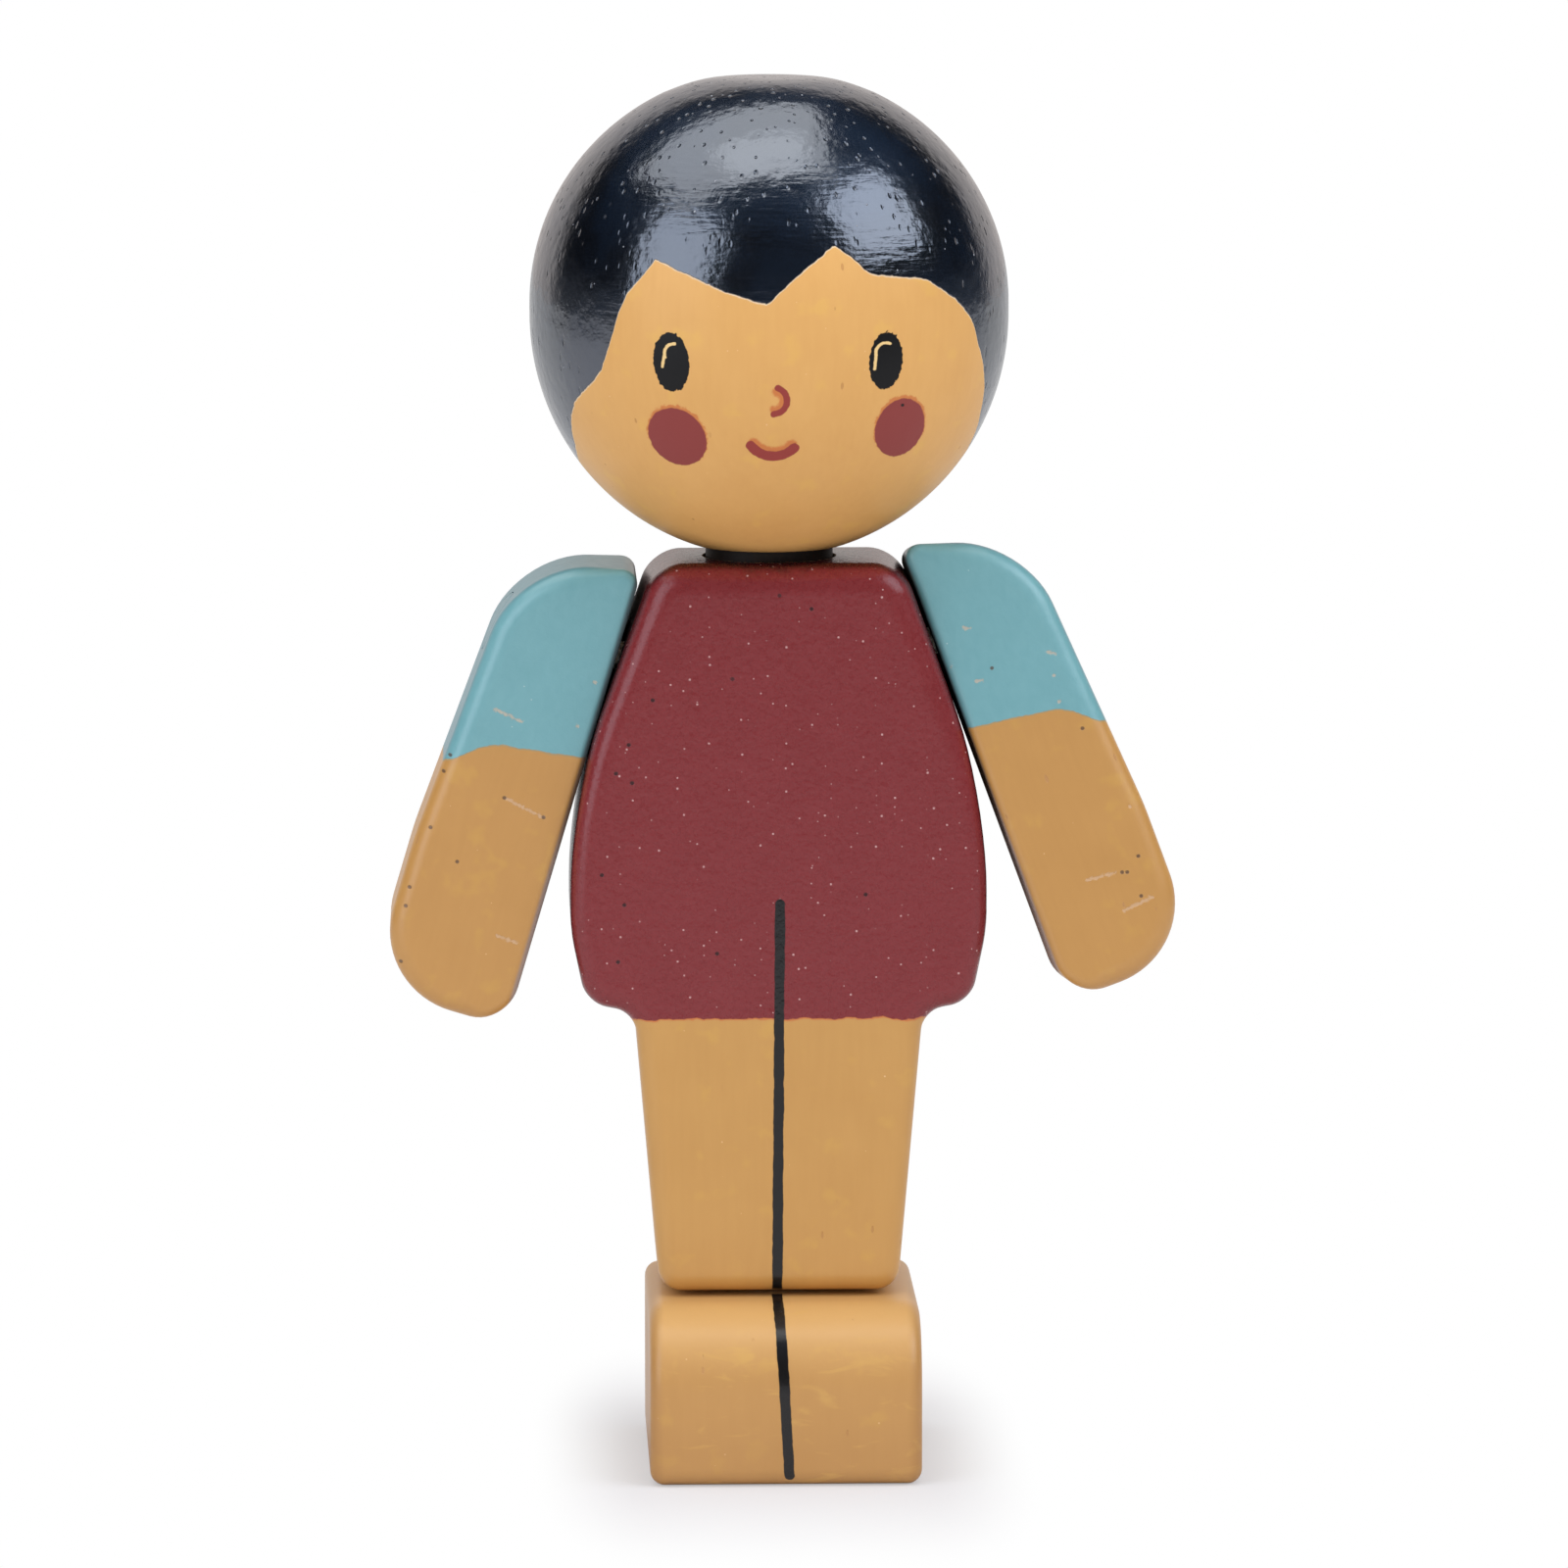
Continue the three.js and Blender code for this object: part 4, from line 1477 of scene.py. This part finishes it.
@dataclass
class Arm:
    """One arm with its glued plug, hung at its own tilt and swing."""

    name: str
    side: int
    pivot: Triple
    tilt: float
    swing: float
    sleeve_end: float
    tan_marks: tuple[Stroke, ...]
    dark_marks: tuple[Stroke, ...]
    sleeve_slope: float = 0.14
    thickness: float = 9.0
    roundover: float = 1.2
    inner_roundover: float = 0.6
    cord_bore: float = 1.25
    knot_bore: float = 2.0
    knot_seat: float = 2.4
    plug_radius: float = 1.92
    plug_start: float = 5.6
    paint_film: float = 0.12
    shoulder: Pair = (6.0, 4.2)
    hand_end: float = -24.15
    outer_face: float = 8.8
    drill_reach: float = 12.0
    rim_start: float = 1.2
    rim_growth: float = 1.6
    inner_lean: float = 0.0
    lean_reach: float = 3.0

    def turn(self) -> Matrix:
        """How the arm's own frame is turned in the figure's."""
        tilt = Matrix.Rotation(math.radians(-self.side * self.tilt), 3, "Y")
        half_turn = Matrix.Rotation(math.pi if self.side < 0 else 0.0, 3, "Z")
        swing = Matrix.Rotation(math.radians(-self.side * self.swing), 3, "X")
        return tilt @ half_turn @ swing

    def spot(self, x: float = 0.0) -> Vector:
        """A point on the arm's axis, in the figure's millimetres."""
        return Vector(self.pivot) / MM + self.turn() @ Vector((x, 0, 0))

    def corners(self) -> list[Corner]:
        """The template: flat inner face at x = 0, shoulder at the top, hand at the bottom."""
        return [
            Corner(-self.paint_film, self.shoulder[0], 0.98),
            Corner(-self.paint_film, self.hand_end, 2.7),
            Corner(self.outer_face, self.hand_end, 5.3),
            Corner(self.outer_face, -14.2, 20.0),
            Corner(7.5, self.shoulder[1], 6.4),
        ]

    def rim_share(self, spot: Vector) -> float:
        """The inner edges are only broken, the others fully rounded over.

        Args:
            spot: a point of the outline.

        Returns:
            The share of the full roundover.
        """
        rise = clamped((spot.x - self.rim_start) / self.rim_growth)
        inner = self.inner_roundover / self.roundover
        return inner + (1 - inner) * rise * rise * (3 - 2 * rise)

    def blank(self, shop: Workshop, name: str) -> Object:
        """The rounded arm before it is drilled, in its own frame.

        Args:
            shop: makes the meshes.
            name: the object's name.

        Returns:
            The blank.
        """
        size = (self.thickness, self.roundover)
        blank = shop.rounded_board(name, self.corners(), *size, self.rim_share)
        for vert in blank.data.vertices:
            fade = max(0.0, 1.0 - max(vert.co.x / MM, 0.0) / self.lean_reach)
            vert.co.x -= self.inner_lean * fade * vert.co.y
        return blank

    def finish_piece(self, piece: Object, suffix: str, shop: Workshop) -> None:
        """Moves a finished mesh from the arm's own frame to its place, and hands it over.

        Args:
            piece: the arm or its plug.
            suffix: what its node's name has after the arm's.
            shop: makes the meshes.
        """
        piece.data.transform(Matrix.Translation(Vector(self.pivot)) @ self.turn().to_4x4())
        body = f"{self.name}_arm"
        shop.hand_over(piece, ArmPaint(f"{body}_paint", self), body + suffix, body)

    def build(self, shop: Workshop) -> None:
        """Makes the arm and its plug.

        Args:
            shop: makes the meshes.
        """
        arm = self.blank(shop, f"painted_{self.name}_arm")
        for radius, start in ((self.cord_bore, -1.0), (self.knot_bore, self.knot_seat)):
            shop.drill(arm, shop.level_rod(radius, start, self.drill_reach))
        self.finish_piece(arm, "", shop)
        work = shop.level_rod(self.plug_radius, self.plug_start, self.drill_reach)
        plug = shop.object_from(work, f"glued_{self.name}_arm_plug")
        shop.machine(plug, self.blank(shop, "plug_trimmer"), Tool.TRIM)
        self.finish_piece(plug, "_plug", shop)


@dataclass
class Elastic:
    """The covered elastic cord through the shoulders, with a knot at each end."""

    arms: tuple[Arm, ...]
    neck_radius: float = 4.0
    radius: float = 0.9
    bend_start: float = 0.45
    bend_steps: int = 12
    elbow: float = 1.8
    knot_start: float = 2.0
    knot_middle: float = 3.8
    cord_end: float = 5.2
    knot_strand: float = 0.52
    knot_size: float = 1.12
    knot_depth: float = 0.45
    knot_steps: int = 72

    def tube(self, name: str, points: Sequence[Vector], radius: float, closed: bool) -> Object:
        """A round tube in millimetres along points.

        Args:
            name: the object's name.
            points: its middle line.
            radius: its radius.
            closed: whether its end joins its start.

        Returns:
            The tube.
        """
        curve = bpy.data.curves.new(name, "CURVE")
        curve.dimensions = "3D"
        curve.bevel_depth = radius * MM
        curve.bevel_resolution = 5
        curve.use_fill_caps = not closed
        spline = curve.splines.new("POLY")
        spline.points.add(len(points) - 1)
        spline.use_cyclic_u = closed
        for point, place in zip(spline.points, points):
            point.co = (*(place * MM), 1.0)
        rough = linked(name, curve)
        mesh = evaluated_mesh(rough)
        bpy.data.objects.remove(rough)
        return linked(name, mesh)

    def route(self) -> list[Vector]:
        """The cord's middle line from the right arm's knot to the left arm's."""
        ends = []
        for arm in self.arms:
            level = Vector((NECK_X + arm.side * self.neck_radius, 0, CORD_Z))
            start, elbow = arm.spot(-self.bend_start), arm.spot(-self.elbow)
            elbow.z = (elbow.z + CORD_Z) / 2
            shares = [k / self.bend_steps for k in range(self.bend_steps + 1)]
            bend = [start * (1 - t) ** 2 + elbow * 2 * t * (1 - t) + level * t * t for t in shares]
            ends.append([arm.spot(self.cord_end), arm.spot(self.knot_start), *bend])
        return ends[0] + ends[1][::-1]

    def knot_line(self, arm: Arm) -> list[Vector]:
        """The line of an overhand knot drawn tight about the arm's bore.

        Args:
            arm: the arm that holds it.

        Returns:
            Its points in order, in millimetres.
        """
        line = []
        for k in range(self.knot_steps):
            t = 2 * math.pi * k / self.knot_steps
            y = self.knot_size * (math.sin(t) + 2 * math.sin(2 * t)) / 3
            z = self.knot_size * (math.cos(t) - 2 * math.cos(2 * t)) / 3
            ring = Vector((-self.knot_depth * math.sin(3 * t), y, z))
            line.append(arm.spot(self.knot_middle) + arm.turn() @ ring)
        return line

    def build(self, shop: Workshop) -> None:
        """Makes the cord and joins its knots to it.

        Args:
            shop: makes the meshes.
        """
        cord = self.tube("braided_elastic", self.route(), self.radius, closed=False)
        with reworked(cord) as work:
            for arm in self.arms:
                knot = self.tube("knot", self.knot_line(arm), self.knot_strand, closed=True)
                work.from_mesh(knot.data)
                bpy.data.objects.remove(knot)
            bmesh.ops.recalc_face_normals(work, faces=work.faces[:])
        cover = ElasticCover("elastic_cover")
        shop.hand_over(cord, cover, "shoulder_elastic", "torso")


@dataclass(frozen=True)
class SoftBox:
    """A soft box that points at the figure, or hangs level above it.

    A bearing of 0 is straight in front and 90 is at the right of the photograph. Angles are in degrees and
    lengths in metres.
    """

    name: str
    bearing: float
    elevation: float
    distance: float
    width: float
    height: float
    radiance: float
    level_turn: float | None = None
    tint: Triple = (1.0, 1.0, 1.0)

    def build(self, target: Vector) -> None:
        """Hangs the lamp.

        Args:
            target: the point that it lights.
        """
        lamp = bpy.data.lights.new(self.name, "AREA")
        lamp.shape = "RECTANGLE"
        lamp.size = self.width
        lamp.size_y = self.height
        lamp.energy = self.radiance * math.pi * self.width * self.height
        lamp.color = self.tint
        bearing, elevation = math.radians(self.bearing), math.radians(self.elevation)
        level = math.cos(elevation)
        out = Vector((math.sin(bearing) * level, -math.cos(bearing) * level, math.sin(elevation)))
        holder = linked(self.name, lamp)
        holder.location = target + out * self.distance
        if self.level_turn is None:
            holder.rotation_euler = out.to_track_quat("Z", "Y").to_euler()
        else:
            holder.rotation_euler = (0.0, 0.0, math.radians(self.level_turn))
        LOG.info("%s hung", self.name)


@dataclass
class Studio:
    """Floor, world, soft boxes and the photograph's camera, in metres and degrees."""

    target: Triple = (0.0, 0.0, 0.06)
    camera_place: Triple = (-0.01885, -0.59970, 0.1254)
    camera_pitch: float = 7.85
    camera_bearing: float = 1.847
    lens: float = 220.5
    floor_reach: Triple = (-0.42, 1.4, 0.9)
    feet: tuple[float, ...] = (0.3, 8.5, 12.0, 7.8)
    shadow_fade: Pair = (0.3, 0.28)
    shadow_reach: float = 7.5
    sweep_reach: Pair = (55.0, 41.0)
    ambient: float = 0.38
    front_fill: float = 0.8
    fill_from: Triple = (0.475, -0.822, 0.314)
    boxes: tuple[SoftBox, ...] = (
        SoftBox("overhead_box", -102.0, 74.7, 0.653, 0.78, 0.56, 1.75, level_turn=12.0),
        SoftBox("overhead_core", -14.0, 82.3, 0.625, 0.33, 0.28, 0.95, level_turn=12.0),
        SoftBox("left_box", -51.0, 21.0, 0.7, 0.46, 0.62, 2.15, tint=(0.90, 0.97, 1.1)),
        SoftBox("right_box", 66.0, 41.0, 0.75, 0.52, 0.46, 2.7, tint=(0.90, 0.97, 1.1)),
    )

    def build(self) -> None:
        """Sets up everything around the figure."""
        bpy.context.scene.view_settings.view_transform = "Standard"
        self.build_camera()
        self.build_world()
        self.build_floor()
        for box in self.boxes:
            box.build(Vector(self.target))

    def build_camera(self) -> None:
        """Places the camera where the photograph was taken from."""
        camera = bpy.data.cameras.new("photo_camera")
        camera.sensor_width = 36.0
        camera.lens = self.lens
        camera.clip_start, camera.clip_end = 0.01, 20.0
        holder = linked("photo_camera", camera)
        holder.location = self.camera_place
        pitch, bearing = math.radians(90 - self.camera_pitch), math.radians(-self.camera_bearing)
        holder.rotation_euler = (pitch, 0.0, bearing)
        bpy.context.scene.camera = holder

    def build_world(self) -> None:
        """White to the camera, a white sweep behind and a dim room in front to gloss, and plain fill."""
        world = bpy.data.worlds.new("studio")
        world.use_nodes = True
        bpy.context.scene.world = world
        graph = Graph(world.node_tree)
        across, depth, up = graph.node("TexCoord")["Generated"].parts()
        aside = abs(across).angle_from(depth) / self.sweep_reach[0]
        above = up.larger(0.0).angle_from(across.length_with(depth)) / self.sweep_reach[1]
        room = mix(colour(30, 32, 38), colour(64, 82, 108), up.rising(0.5, 0.9))
        room = mix(room, colour(92, 95, 102), up.falling(-0.02, 0.2))
        room = mix(colour(240, 231, 227), room, aside.length_with(above).rising(0.78, 1.05))
        path = graph.node("LightPath")
        lean = self.fill_from
        facing = (across * lean[0] + depth * lean[1] + up * lean[2]).larger(0.0)
        plain = facing * facing * self.front_fill + self.ambient
        fill = mix(plain, room, path["Is Glossy Ray"])
        shown = path["Is Camera Ray"].larger(path["Is Transmission Ray"])
        seen = mix(fill, (1.0, 1.0, 1.0, 1.0), shown)
        light = graph.node("Background", {"Color": seen, "Strength": 1.0})
        graph.node("OutputWorld", {"Surface": light["Background"]})

    def build_floor(self) -> None:
        """A pale floor that goes to white around the figure and keeps the figure's shadow."""
        work = bmesh.new()
        near, far, side = self.floor_reach
        bmesh.ops.create_grid(work, x_segments=8, y_segments=8, size=side)
        bmesh.ops.scale(work, vec=(1, (far - near) / 2 / side, 1), verts=work.verts[:])
        shift(work, y=(far + near) / 2)
        mesh = bpy.data.meshes.new("studio_floor")
        work.to_mesh(mesh)
        work.free()
        floor = linked("studio_floor", mesh)
        material, graph, place = new_material("studio_floor")
        across, depth, _ = place.parts()
        middle, half, toe, heel = self.feet
        ahead, behind = (-depth - toe) * self.shadow_fade[0], (depth - heel) * self.shadow_fade[1]
        beyond = ahead.larger(behind).larger(0.0)
        reach = (abs(across - middle) - half).larger(0.0).length_with(beyond)
        paper = graph.node("BsdfDiffuse", {"Color": colour(214, 211, 212)})["BSDF"]
        white = graph.node("Emission", {"Color": colour(255, 255, 255), "Strength": 1.0})["Emission"]
        path = graph.node("LightPath")
        seen = path["Is Camera Ray"] * (reach.rising(0.0, self.shadow_reach) * 0.64 + 0.36)
        edge = self.sweep_reach[0]
        sweep = abs(across).angle_from(depth).falling(edge - 8.0, edge + 20.0)
        share = seen.larger(path["Is Glossy Ray"] * sweep * 0.7)
        mixed = graph.node("MixShader", {0: share, 1: paper, 2: white})["Shader"]
        graph.node("OutputMaterial", {"Surface": mixed})
        mesh.materials.append(material)


def arms() -> tuple[Arm, Arm]:
    """The two arms as they hang in the photograph, with the marks on each."""
    right = Arm(
        "right",
        side=-1,
        pivot=(-0.010327970, 0.0, 0.051),
        tilt=16.6,
        swing=0.0,
        sleeve_end=6.25,
        tan_marks=strokes(
            (6.3, -4.9, 4.4, -5.2), (0.7, -1.5), (1.0, -4.5), (4.0, -10.1, 1.5, -10.6),
            (2.1, -18.6, 0.8, -18.7),
        ),
        dark_marks=strokes(
            (4.1, -10.1), (1.4, -10.6), (8.1, -8.5), (8.2, -9.6), (8.0, -13.2), (8.2, -17.2),
            (8.1, -18.4), (7.4, -21.9), (5.8, -14.8),
        ),
    )
    left = Arm(
        "left",
        side=1,
        pivot=(0.009886951, 0.0, 0.0518),
        tilt=20.3,
        swing=7.0,
        sleeve_end=5.85,
        tan_marks=strokes(
            (0.5, -1.9), (2.0, 0.1, 2.4, -0.1), (6.4, -3.2, 6.8, -3.4), (6.3, -4.7),
            (1.6, -3.3, 2.0, -3.4), (6.0, -6.3), (7.9, -14.0), (3.8, -17.4, 5.6, -17.6),
            (5.2, -20.0, 7.2, -19.8),
        ),
        dark_marks=strokes(
            (2.8, -2.9), (6.8, -8.4), (6.0, -17.7), (6.3, -17.8), (7.3, -17.1), (6.6, -19.5),
        ),
        paint_film=0.04,
        shoulder=(6.35, 3.95),
        inner_lean=0.033,
    )
    return right, left


def main() -> None:
    """Loads the frame, builds the pieces in order and the studio around them."""
    logging.basicConfig(level=logging.INFO, format="%(message)s")
    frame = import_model()
    LOG.info("frame with %d nodes", len(frame["nodes"]))
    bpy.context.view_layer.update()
    Studio().build()
    shop = Workshop()
    pair = arms()
    for piece in (Head(), Body(), Feet(), *pair, Elastic(pair)):
        piece.build(shop)


if __name__ == "__main__":
    main()
